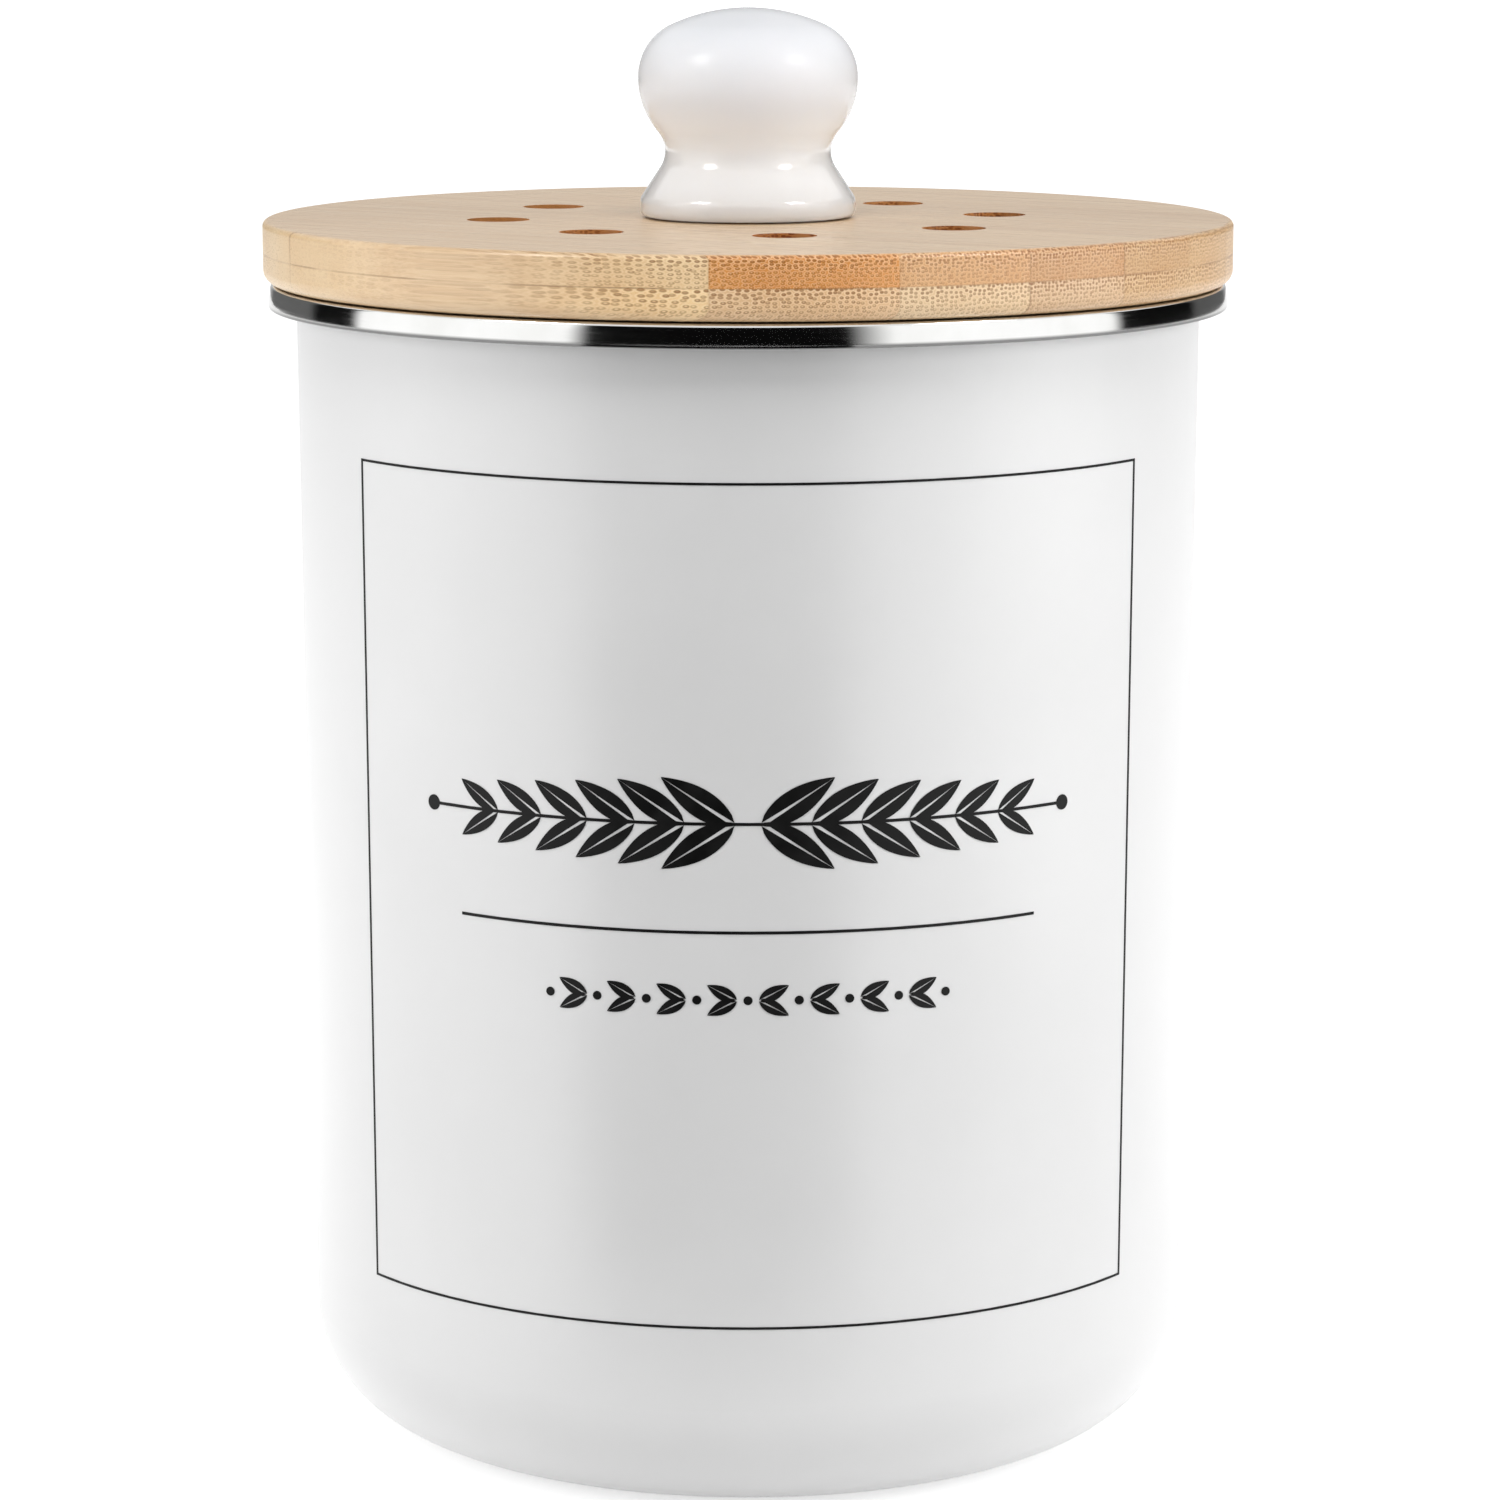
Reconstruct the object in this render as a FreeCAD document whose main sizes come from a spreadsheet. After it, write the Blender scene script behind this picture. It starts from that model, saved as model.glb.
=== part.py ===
"""Countertop compost caddy: enamelled pail, lift-out bucket, vented bamboo lid with a filter and a knob.

Millimetres. The origin is the centre of the base on the table, +Z is up and the front faces -Y.
"""
import FreeCAD, Part
import enum
import math
import os
import re

import Sketcher

SIZES = {
    # Pail: drawn steel, radii to the outside of the enamel
    "pail_height": 203.6,
    "pail_top_radius": 79.3,
    "pail_taper": 1.4,
    "pail_wall": 0.8,
    "pail_corner_radius": 20.9,
    "pail_lip_bend": 1.2,
    "dish_inset": 31.9,
    "dish_slope": 4.0,
    "dish_rise": 1.6,
    # Rim hoop: stainless channel crimped over the pail's turned-out lip
    "hoop_overhang": 4.8,
    "hoop_height": 4.3,
    "hoop_sheet": 0.5,
    "hoop_roll_radius": 2.2,
    "hoop_top_round": 0.8,
    "hoop_gap": 0.25,
    # Lid board: two plies of bamboo
    "lid_overhang": 0.9,
    "ply_thickness": 5.45,
    "lid_top_round": 1.0,
    "lid_under_round": 2.5,
    "vent_radius": 5.5,
    "vent_inset": 9.5,
    # Filter and the plug ring whose bore is its pocket
    "plug_width": 22.1,
    "filter_thickness": 9.6,
    "filter_edge_round": 0.8,
    "filter_clearance": 0.4,
    "filter_play": 0.3,
    "plug_clearance": 2.5,
    "plug_edge_round": 1.0,
    # Seal: silicone ring with two lips, in a groove round the plug
    "seal_height": 3.8,
    "seal_drop": 3.2,
    "seal_groove_depth": 2.5,
    "seal_fit": 0.1,
    "seal_clearance": 0.3,
    # Turn buttons under the filter, and their screws
    "clip_reach": 19.0,
    "clip_width": 9.0,
    "clip_thickness": 2.4,
    "clip_edge_round": 0.6,
    "clip_play": 0.2,
    "clip_bore_gap": 0.15,
    "clip_screw_radius": 1.6,
    "clip_screw_bite": 8.0,
    "clip_head_radius": 3.4,
    "clip_head_height": 1.8,
    # Knob: turned ceramic, its outline given below as shares of its height
    "knob_height": 36.5,
    "knob_socket_radius": 6.0,
    "knob_socket_depth": 20.0,
    # Knob fixing: brass bush in the knob, screw and washer let into the lid from below
    "cement_gap": 0.15,
    "insert_headroom": 1.0,
    "knob_screw_radius": 2.5,
    "knob_screw_bite": 14.0,
    "knob_head_radius": 4.7,
    "knob_head_height": 2.6,
    "head_cover": 0.4,
    "screw_hole_gap": 0.4,
    "thread_gap": 0.05,
    "washer_radius": 6.5,
    "washer_thickness": 1.0,
    "washer_gap": 0.5,
    # Inner bucket: moulded, stands on the raised dish of the pail's floor
    "bucket_wall": 1.6,
    "bucket_clearance": 1.0,
    "bucket_headroom": 1.5,
    "bucket_draft": 2.0,
    "bucket_corner_radius": 18.0,
    "bucket_lip_width": 5.5,
    "bucket_lip_drop": 6.0,
    "bucket_lip_round": 0.7,
    "grip_width": 36.0,
    "grip_height": 13.0,
    "grip_drop": 4.0,
    # How far a cutting shape runs past what it cuts
    "overrun": 2.0,
}

VENT_COUNT = 8
VENT_PHASE_DEGREES = 8.0
CLIP_COUNT = 3
FULL_TURN_DEGREES = 360.0

# Bamboo strips of a ply: how far they slant, and their glue joints as shares of the vent ring's radius.
# The outermost joints lie at shares of the way from the next joint to the lid's edge
GRAIN_SLANT_DEGREES = 55.0
STRIP_JOINT_SHARES = (-1.198, -0.736, -0.274, 0.188, 0.65, 1.112)
LEFT_JOINT_SHARE = 0.63
RIGHT_JOINT_SHARE = 0.564
# Knob outline, as shares of the knob's height
KNOB_BALL_RADIUS_SHARE = 0.52767
KNOB_BALL_HEIGHT_SHARE = 0.66986
KNOB_UNDER_CURVE_SHARE = 0.40685
KNOB_SHOULDER_CURVE_SHARE = 0.27534
KNOB_WAIST_RADIUS_SHARE = 0.4
KNOB_WAIST_CURVE_SHARE = 0.13973
KNOB_FLANGE_RADIUS_SHARE = 0.50575
KNOB_FLANGE_HEIGHT_SHARE = 0.09205
KNOB_FLANGE_CURVE_SHARE = 0.07233
KNOB_FOOT_RADIUS_SHARE = 0.45479
# Seal outline: height as a share of its height, reach as a share of the way from plug to lip edge
SEAL_LIP_SHARES = (
    (0.0, 0.0), (0.16, 1.0), (0.32, 1.0), (0.40, 0.1),
    (0.60, 0.1), (0.68, 1.0), (0.84, 1.0), (1.0, 0.0),
)
# Screwdriver slot: width as a share of the head's radius, depth as a share of the head's height
SLOT_WIDTH_SHARE = 0.3
SLOT_DEPTH_SHARE = 0.5
# Rounding of a pan head as a share of its height
HEAD_ROUND_SHARE = 0.45

# Derived sizes, as formulas of the sheet's names
PAIL_BASE = "(pail_top_radius - pail_taper)"
DISH_RADIUS = f"({PAIL_BASE} - dish_inset)"
HOOP_RADIUS = "(pail_top_radius + hoop_overhang)"
HOOP_INNER = "(pail_top_radius + pail_lip_bend)"
LID_RADIUS = f"({HOOP_RADIUS} + lid_overhang)"
PAIL_LIP_TOP = "(pail_height - hoop_sheet)"
PAIL_LIP_RADIUS = f"({HOOP_RADIUS} - hoop_sheet - hoop_gap)"
PAIL_BORE = "(pail_top_radius - pail_wall)"
PAIL_FLOOR = "(dish_rise + pail_wall)"
GLUE_LINE = "(pail_height + ply_thickness)"
LID_TOP = "(pail_height + 2 * ply_thickness)"
PLUG_DEPTH = "(filter_thickness + filter_play)"
PLUG_RADIUS = "(pail_top_radius - pail_wall - plug_clearance)"
PLUG_BORE = f"({PLUG_RADIUS} - plug_width)"
FILTER_RADIUS = f"({PLUG_BORE} - filter_clearance)"
VENT_RING = f"({FILTER_RADIUS} - vent_inset)"
PLUG_BOTTOM = f"(pail_height - {PLUG_DEPTH})"
GROOVE_RADIUS = f"({PLUG_RADIUS} - seal_groove_depth)"
GROOVE_BOTTOM = f"({PLUG_DEPTH} - seal_drop - seal_height)"
CLIP_PIVOT = f"(({PLUG_BORE} + {PLUG_RADIUS}) / 2)"
CLIP_BOTTOM = f"({PLUG_BOTTOM} - clip_play - clip_thickness)"
SCREW_HOLE = "(knob_screw_radius + screw_hole_gap)"
COUNTERBORE = "(washer_radius + washer_gap)"
COUNTERBORE_DEPTH = "(head_cover + knob_head_height + washer_thickness)"
BUCKET_HEIGHT = f"({CLIP_BOTTOM} - bucket_headroom - {PAIL_FLOOR})"
BUCKET_LIP_RADIUS = f"({PAIL_BORE} - bucket_clearance)"
BUCKET_TOP_RADIUS = f"({BUCKET_LIP_RADIUS} - bucket_lip_width)"
BUCKET_BASE_RADIUS = f"({BUCKET_TOP_RADIUS} - bucket_draft)"
KNOB_BALL_RADIUS = f"(knob_height * {KNOB_BALL_RADIUS_SHARE})"
KNOB_BALL_HEIGHT = f"(knob_height * {KNOB_BALL_HEIGHT_SHARE})"
KNOB_UNDER_CURVE = f"(knob_height * {KNOB_UNDER_CURVE_SHARE})"
KNOB_SHOULDER_CURVE = f"(knob_height * {KNOB_SHOULDER_CURVE_SHARE})"
KNOB_WAIST_RADIUS = f"(knob_height * {KNOB_WAIST_RADIUS_SHARE})"
KNOB_WAIST_CURVE = f"(knob_height * {KNOB_WAIST_CURVE_SHARE})"
KNOB_FLANGE_RADIUS = f"(knob_height * {KNOB_FLANGE_RADIUS_SHARE})"
KNOB_FLANGE_HEIGHT = f"(knob_height * {KNOB_FLANGE_HEIGHT_SHARE})"
KNOB_FLANGE_CURVE = f"(knob_height * {KNOB_FLANGE_CURVE_SHARE})"
KNOB_FOOT_RADIUS = f"(knob_height * {KNOB_FOOT_RADIUS_SHARE})"


class Spot(enum.IntEnum):
    """Sketcher's numbers for a sketch's origin and axes, and for the points of a curve."""

    V_AXIS = -2
    H_AXIS = -1
    ORIGIN = -1
    START = 1
    END = 2
    CENTRE = 3


MATCH = 1e-4
UP = FreeCAD.Vector(0, 0, 1)

doc = FreeCAD.newDocument("CompostCaddy")
sheet = doc.addObject("Spreadsheet::Sheet", "Sizes")
for row, (alias, size) in enumerate(SIZES.items(), start=1):
    sheet.set(f"A{row}", alias)
    sheet.set(f"B{row}", str(size))
    sheet.setAlias(f"B{row}", alias)
doc.recompute()

ALIAS_PATTERN = re.compile(r"\b(" + "|".join(SIZES) + r")\b")


def value(formula):
    """The number that a formula of the sheet's names comes to."""
    return float(sheet.evalExpression(formula))


def bind(thing, prop, formula):
    """Tie a property to the sheet."""
    thing.setExpression(prop, ALIAS_PATTERN.sub(r"Sizes.\1", formula))


def new_body(label, height="0"):
    """An empty body whose own zero lies at a height above the table."""
    body = doc.addObject("PartDesign::Body", label)
    body.Label = label
    bind(body, "Placement.Base.z", height)
    return body


def origin_item(body, role):
    """One of the body's own origin planes or axes."""
    return next(item for item in body.Origin.OriginFeatures if item.Role == role)


def new_sketch(body, name, role):
    """An empty sketch on one of the body's own origin planes."""
    sketch = body.newObject("Sketcher::SketchObject", name)
    sketch.AttachmentSupport = [(origin_item(body, role), "")]
    sketch.MapMode = "FlatFace"
    return sketch


def hold_x(sketch, geometry, point, formula):
    """Keep a point at a distance right of the sketch's origin."""
    if formula == "0":
        sketch.addConstraint(Sketcher.Constraint("PointOnObject", geometry, point, Spot.V_AXIS))
        return
    place = Sketcher.Constraint("DistanceX", Spot.ORIGIN, Spot.START, geometry, point, value(formula))
    bind(sketch, f"Constraints[{sketch.addConstraint(place)}]", formula)


def hold_y(sketch, geometry, point, formula):
    """Keep a point at a distance above the sketch's origin."""
    if formula == "0":
        sketch.addConstraint(Sketcher.Constraint("PointOnObject", geometry, point, Spot.H_AXIS))
        return
    place = Sketcher.Constraint("DistanceY", Spot.ORIGIN, Spot.START, geometry, point, value(formula))
    bind(sketch, f"Constraints[{sketch.addConstraint(place)}]", formula)


def hold_radius(sketch, geometry, formula):
    size = Sketcher.Constraint("Radius", geometry, value(formula))
    bind(sketch, f"Constraints[{sketch.addConstraint(size)}]", formula)


def join(sketch, first, second, kind="Tangent"):
    """Make one curve's end meet the next one's start, smoothly unless kind says otherwise."""
    sketch.addConstraint(Sketcher.Constraint(kind, first, Spot.END, second, Spot.START))


def vector(x, y):
    return FreeCAD.Vector(value(x), value(y), 0)


def add_outline(sketch, corners):
    """A closed outline of straight edges, with each corner held by its two formulas."""
    points = [vector(x, y) for x, y in corners]
    lines = [
        sketch.addGeometry(Part.LineSegment(here, there))
        for here, there in zip(points, points[1:] + points[:1])
    ]
    for first, second in zip(lines, lines[1:] + lines[:1]):
        join(sketch, first, second, "Coincident")
    for line, (x, y) in zip(lines, corners):
        hold_x(sketch, line, Spot.START, x)
        hold_y(sketch, line, Spot.START, y)


def add_circle(sketch, x, y, radius):
    circle = sketch.addGeometry(Part.Circle(vector(x, y), UP, value(radius)))
    hold_x(sketch, circle, Spot.CENTRE, x)
    hold_y(sketch, circle, Spot.CENTRE, y)
    hold_radius(sketch, circle, radius)


def add_arc(sketch, centre, radius, start, end):
    """An arc drawn counterclockwise between two angles in radians."""
    return sketch.addGeometry(Part.ArcOfCircle(Part.Circle(centre, UP, radius), start, end))


def add_bar(sketch, first, last, radius):
    """A straight bar with round ends, drawn about two centres given by formulas."""
    near = vector(*first)
    far = vector(*last)
    size = value(radius)
    along = (near - far).normalize()
    turn = math.atan2(along.y, along.x)
    side = FreeCAD.Vector(-along.y, along.x, 0) * size
    half = math.pi / 2
    head = add_arc(sketch, near, size, turn - half, turn + half)
    left = sketch.addGeometry(Part.LineSegment(near + side, far + side))
    tail = add_arc(sketch, far, size, turn + half, turn + 3 * half)
    right = sketch.addGeometry(Part.LineSegment(far - side, near - side))
    for here, there in ((head, left), (left, tail), (tail, right), (right, head)):
        join(sketch, here, there)
    for arc, (x, y) in ((head, first), (tail, last)):
        hold_x(sketch, arc, Spot.CENTRE, x)
        hold_y(sketch, arc, Spot.CENTRE, y)
        hold_radius(sketch, arc, radius)


def add_feature(body, kind, name, sketch):
    doc.recompute()
    feature = body.newObject(f"PartDesign::{kind}", name)
    feature.Profile = sketch
    return feature


def turn_sketch(body, sketch):
    """Turn a half outline about the body's upright axis."""
    turned = add_feature(body, "Revolution", f"{body.Name}_turned", sketch)
    turned.ReferenceAxis = (sketch, ["V_Axis"])
    turned.Angle = FULL_TURN_DEGREES
    doc.recompute()
    return turned


def turn(body, corners):
    """Turn an outline of radius and height formulas about the body's upright axis."""
    sketch = new_sketch(body, f"{body.Name}_outline", "XZ_Plane")
    add_outline(sketch, corners)
    return turn_sketch(body, sketch)


def pad(body, name, sketch, length, downward=False):
    raised = add_feature(body, "Pad", name, sketch)
    bind(raised, "Length", length)
    raised.Reversed = downward
    doc.recompute()
    return raised


def cut_through(body, name, sketch):
    """Cut a sketch through the body both ways from its plane, and make sure that it cut something."""
    before = body.Shape.Volume
    cut = add_feature(body, "Pocket", name, sketch)
    cut.Type = "ThroughAll"
    cut.SideType = "Symmetric"
    doc.recompute()
    assert body.Shape.Volume < before, f"{name} cut nothing"
    return cut


def cut_up(body, name, sketch, depth):
    """Cut a sketch upward from its plane to a depth."""
    before = body.Shape.Volume
    cut = add_feature(body, "Pocket", name, sketch)
    bind(cut, "Length", depth)
    cut.Reversed = True
    doc.recompute()
    assert body.Shape.Volume < before, f"{name} cut nothing"
    return cut


def polar(body, name, originals, count):
    """Repeat features evenly round the upright axis."""
    pattern = body.newObject("PartDesign::PolarPattern", name)
    pattern.Originals = originals
    pattern.Axis = (origin_item(body, "Z_Axis"), [""])
    pattern.Angle = FULL_TURN_DEGREES
    pattern.Occurrences = count
    body.Tip = pattern
    doc.recompute()
    return pattern


def round_rings(body, name, radius, rings):
    """Round the circular edges that have these radii and heights, given as formulas."""
    base = body.Tip
    wanted = [(value(ring), value(height)) for ring, height in rings]
    names = []
    for number, edge in enumerate(base.Shape.Edges, start=1):
        curve = edge.Curve
        if not isinstance(curve, Part.Circle):
            continue
        here = (curve.Radius, curve.Center.z)
        if any(math.dist(here, there) < MATCH for there in wanted):
            names.append(f"Edge{number}")
    assert len(names) >= len(wanted), f"{name} found {names}"
    fillet = body.newObject("PartDesign::Fillet", name)
    fillet.Base = (base, names)
    bind(fillet, "Radius", radius)
    doc.recompute()
    return fillet


def make_pail_shell():
    """Drawn shell that stands on a ring round its pushed-up base, with its top edge turned outward."""
    body = new_body("pail_shell")
    lip_under = f"({PAIL_LIP_TOP} - pail_wall)"
    foot = f"({DISH_RADIUS} + dish_slope)"
    bore_at_base = f"({PAIL_BASE} - pail_wall)"
    turn(body, [
        ("0", "dish_rise"),
        (DISH_RADIUS, "dish_rise"),
        (foot, "0"),
        (PAIL_BASE, "0"),
        ("pail_top_radius", lip_under),
        (PAIL_LIP_RADIUS, lip_under),
        (PAIL_LIP_RADIUS, PAIL_LIP_TOP),
        (PAIL_BORE, PAIL_LIP_TOP),
        (bore_at_base, "pail_wall"),
        (foot, "pail_wall"),
        (DISH_RADIUS, PAIL_FLOOR),
        ("0", PAIL_FLOOR),
    ])
    round_rings(body, "pail_corner", "pail_corner_radius", [(PAIL_BASE, "0")])
    round_rings(body, "pail_inner_corner", "pail_corner_radius - pail_wall", [(bore_at_base, "pail_wall")])
    round_rings(body, "pail_lip_under", "pail_lip_bend", [("pail_top_radius", lip_under)])
    round_rings(body, "pail_lip_over", "pail_lip_bend + pail_wall", [(PAIL_BORE, PAIL_LIP_TOP)])
    return body


def make_rim_hoop():
    """Channel closed round the pail's lip: flat above, where the lid rests, and rolled under."""
    body = new_body("rim_hoop", "pail_height - hoop_height")
    inside = f"({HOOP_RADIUS} - hoop_sheet)"
    under_top = "(hoop_height - hoop_sheet)"
    lower_edge = "(pail_top_radius + hoop_gap)"
    turn(body, [
        (HOOP_INNER, "hoop_height"),
        (HOOP_RADIUS, "hoop_height"),
        (HOOP_RADIUS, "0"),
        (lower_edge, "0"),
        (lower_edge, "hoop_sheet"),
        (inside, "hoop_sheet"),
        (inside, under_top),
        (HOOP_INNER, under_top),
    ])
    round_rings(body, "hoop_roll", "hoop_roll_radius", [(HOOP_RADIUS, "0")])
    round_rings(body, "hoop_roll_inside", "hoop_roll_radius - hoop_sheet", [(inside, "hoop_sheet")])
    round_rings(body, "hoop_shoulder", "hoop_top_round", [(HOOP_RADIUS, "hoop_height")])
    return body


def make_inner_bucket():
    """Moulded liner with a turned-down lip, and a finger hole under it on each side."""
    body = new_body("inner_bucket", PAIL_FLOOR)
    lip_under = f"({BUCKET_HEIGHT} - bucket_wall)"
    skirt_inside = f"({BUCKET_LIP_RADIUS} - bucket_wall)"
    skirt_foot = f"({BUCKET_HEIGHT} - bucket_lip_drop)"
    bore_at_top = f"({BUCKET_TOP_RADIUS} - bucket_wall)"
    bore_at_base = f"({BUCKET_BASE_RADIUS} - bucket_wall)"
    turn(body, [
        ("0", "0"),
        (BUCKET_BASE_RADIUS, "0"),
        (BUCKET_TOP_RADIUS, lip_under),
        (skirt_inside, lip_under),
        (skirt_inside, skirt_foot),
        (BUCKET_LIP_RADIUS, skirt_foot),
        (BUCKET_LIP_RADIUS, BUCKET_HEIGHT),
        (bore_at_top, BUCKET_HEIGHT),
        (bore_at_base, "bucket_wall"),
        ("0", "bucket_wall"),
    ])
    round_rings(body, "bucket_corner", "bucket_corner_radius", [(BUCKET_BASE_RADIUS, "0")])
    inner_corner = "bucket_corner_radius - bucket_wall"
    round_rings(body, "bucket_inner_corner", inner_corner, [(bore_at_base, "bucket_wall")])
    lip_edges = [(BUCKET_LIP_RADIUS, BUCKET_HEIGHT), (bore_at_top, BUCKET_HEIGHT)]
    round_rings(body, "bucket_lip_edges", "bucket_lip_round", lip_edges)
    grips = new_sketch(body, "finger_holes", "YZ_Plane")
    middle = f"({skirt_foot} - grip_drop - grip_height / 2)"
    reach = "(grip_width / 2 - grip_height / 2)"
    add_bar(grips, (f"-{reach}", middle), (reach, middle), "grip_height / 2")
    cut_through(body, "finger_holes_cut", grips)
    return body


def cut_vents(body):
    """Bore the ring of vent holes through a ply."""
    phase = math.radians(VENT_PHASE_DEGREES)
    sideways_share = math.sin(phase)
    forward_share = -math.cos(phase)
    sketch = new_sketch(body, f"{body.Name}_vent", "XY_Plane")
    place = [f"({VENT_RING} * {share})" for share in (sideways_share, forward_share)]
    add_circle(sketch, *place, "vent_radius")
    polar(body, f"{body.Name}_vents", [cut_through(body, f"{body.Name}_vent_cut", sketch)], VENT_COUNT)


def make_top_ply():
    """Whole upper ply of the lid, crisp at its upper edge."""
    body = new_body("top_ply", GLUE_LINE)
    turn(body, [
        (SCREW_HOLE, "0"),
        (LID_RADIUS, "0"),
        (LID_RADIUS, "ply_thickness"),
        (SCREW_HOLE, "ply_thickness"),
    ])
    round_rings(body, "lid_upper_edge", "lid_top_round", [(LID_RADIUS, "ply_thickness")])
    cut_vents(body)
    return body


def make_bottom_ply():
    """Whole lower ply, well rounded below, with a counterbore for the knob's screw."""
    body = new_body("bottom_ply", "pail_height")
    turn(body, [
        (COUNTERBORE, "0"),
        (LID_RADIUS, "0"),
        (LID_RADIUS, "ply_thickness"),
        (SCREW_HOLE, "ply_thickness"),
        (SCREW_HOLE, COUNTERBORE_DEPTH),
        (COUNTERBORE, COUNTERBORE_DEPTH),
    ])
    round_rings(body, "lid_lower_edge", "lid_under_round", [(LID_RADIUS, "0")])
    cut_vents(body)
    return body


def make_strips(ply, name, height):
    """Split a ply that lies at this height into strips, which run from the back left to the front right."""
    slant = math.radians(GRAIN_SLANT_DEGREES)
    across_share, along_share = math.cos(slant), math.sin(slant)
    edge = f"({LID_RADIUS} + overrun)"
    joints = [f"({VENT_RING} * {share})" for share in STRIP_JOINT_SHARES]
    left_joint = f"({joints[0]} - ({LID_RADIUS} + {joints[0]}) * {LEFT_JOINT_SHARE})"
    right_joint = f"({joints[-1]} + ({LID_RADIUS} - {joints[-1]}) * {RIGHT_JOINT_SHARE})"
    bounds = [f"(0 - {edge})", left_joint, *joints, right_joint, edge]
    strips = []
    for number, (left, right) in enumerate(zip(bounds, bounds[1:]), start=1):
        slab = doc.addObject("Part::Box", f"{name}_slab_{number}")
        bind(slab, "Length", f"{right} - {left}")
        bind(slab, "Width", f"2 * {edge}")
        bind(slab, "Height", "ply_thickness + 2 * overrun")
        slab.Placement.Rotation = FreeCAD.Rotation(UP, GRAIN_SLANT_DEGREES)
        bind(slab, "Placement.Base.x", f"{left} * {across_share} + {edge} * {along_share}")
        bind(slab, "Placement.Base.y", f"{left} * {along_share} - {edge} * {across_share}")
        bind(slab, "Placement.Base.z", f"{height} - overrun")
        strip = doc.addObject("Part::Common", f"{name}_strip_{number}")
        strip.Label = f"{name}_strip_{number}"
        strip.Base = ply
        strip.Tool = slab
        strips.append(strip)
    doc.recompute()
    return strips


def make_lid_plug():
    """Ring under the lid that centres it in the pail: filter pocket inside, seal groove outside."""
    body = new_body("lid_plug", PLUG_BOTTOM)
    groove_top = f"({PLUG_DEPTH} - seal_drop)"
    turn(body, [
        (PLUG_BORE, "0"),
        (PLUG_RADIUS, "0"),
        (PLUG_RADIUS, GROOVE_BOTTOM),
        (GROOVE_RADIUS, GROOVE_BOTTOM),
        (GROOVE_RADIUS, groove_top),
        (PLUG_RADIUS, groove_top),
        (PLUG_RADIUS, PLUG_DEPTH),
        (PLUG_BORE, PLUG_DEPTH),
    ])
    round_rings(body, "plug_lower_edge", "plug_edge_round", [(PLUG_RADIUS, "0")])
    pilot = new_sketch(body, "clip_pilot", "XY_Plane")
    add_circle(pilot, "0", CLIP_PIVOT, "clip_screw_radius + thread_gap")
    first = cut_up(body, "clip_pilot_cut", pilot, "clip_screw_bite + thread_gap")
    polar(body, "clip_pilots", [first], CLIP_COUNT)
    return body


def make_lid_seal():
    """Seal ring: a band in the plug's groove with two thin lips towards the pail."""
    body = new_body("lid_seal", f"{PLUG_BOTTOM} + {GROOVE_BOTTOM} + seal_fit")
    back = f"({GROOVE_RADIUS} + seal_fit)"
    reach = "(plug_clearance - seal_clearance)"
    height = "(seal_height - 2 * seal_fit)"
    front = [
        (f"({PLUG_RADIUS} + {reach} * {out_share})", f"({height} * {up_share})" if up_share else "0")
        for up_share, out_share in SEAL_LIP_SHARES
    ]
    turn(body, [(back, "0")] + front + [(back, height)])
    return body


def make_charcoal_filter():
    """Disc of carbon foam that lies against the lid under the vents."""
    body = new_body("charcoal_filter", "pail_height - filter_thickness")
    sketch = new_sketch(body, "filter_disc", "XY_Plane")
    add_circle(sketch, "0", "0", FILTER_RADIUS)
    pad(body, "filter_pad", sketch, "filter_thickness")
    edges = [(FILTER_RADIUS, "0"), (FILTER_RADIUS, "filter_thickness")]
    round_rings(body, "filter_edges", "filter_edge_round", edges)
    return body


def make_filter_clip(number):
    """Turn button: a bar that reaches in from its screw and holds the filter up."""
    body = new_body(f"filter_clip_{number}", CLIP_BOTTOM)
    outline = new_sketch(body, f"clip_{number}_outline", "XY_Plane")
    add_bar(outline, ("0", CLIP_PIVOT), ("0", f"({CLIP_PIVOT} - clip_reach)"), "clip_width / 2")
    bar = pad(body, f"clip_{number}_bar", outline, "clip_thickness")
    lower_face = next(
        f"Face{index}" for index, face in enumerate(bar.Shape.Faces, start=1)
        if face.BoundBox.ZMax < MATCH
    )
    rounding = body.newObject("PartDesign::Fillet", f"clip_{number}_edge")
    rounding.Base = (bar, [lower_face])
    bind(rounding, "Radius", "clip_edge_round")
    bore = new_sketch(body, f"clip_{number}_bore", "XY_Plane")
    add_circle(bore, "0", CLIP_PIVOT, "clip_screw_radius + clip_bore_gap")
    cut_through(body, f"clip_{number}_bore_cut", bore)
    body.Placement.Rotation = FreeCAD.Rotation(UP, FULL_TURN_DEGREES / CLIP_COUNT * (number - 1))
    return body


def slot_corners(x, y, half_length, half_width):
    """Corners of a slot across a screw's head, from formulas."""
    return [
        (f"{x} - {half_length}", f"{y} - {half_width}"),
        (f"{x} + {half_length}", f"{y} - {half_width}"),
        (f"{x} + {half_length}", f"{y} + {half_width}"),
        (f"{x} - {half_length}", f"{y} + {half_width}"),
    ]


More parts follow.
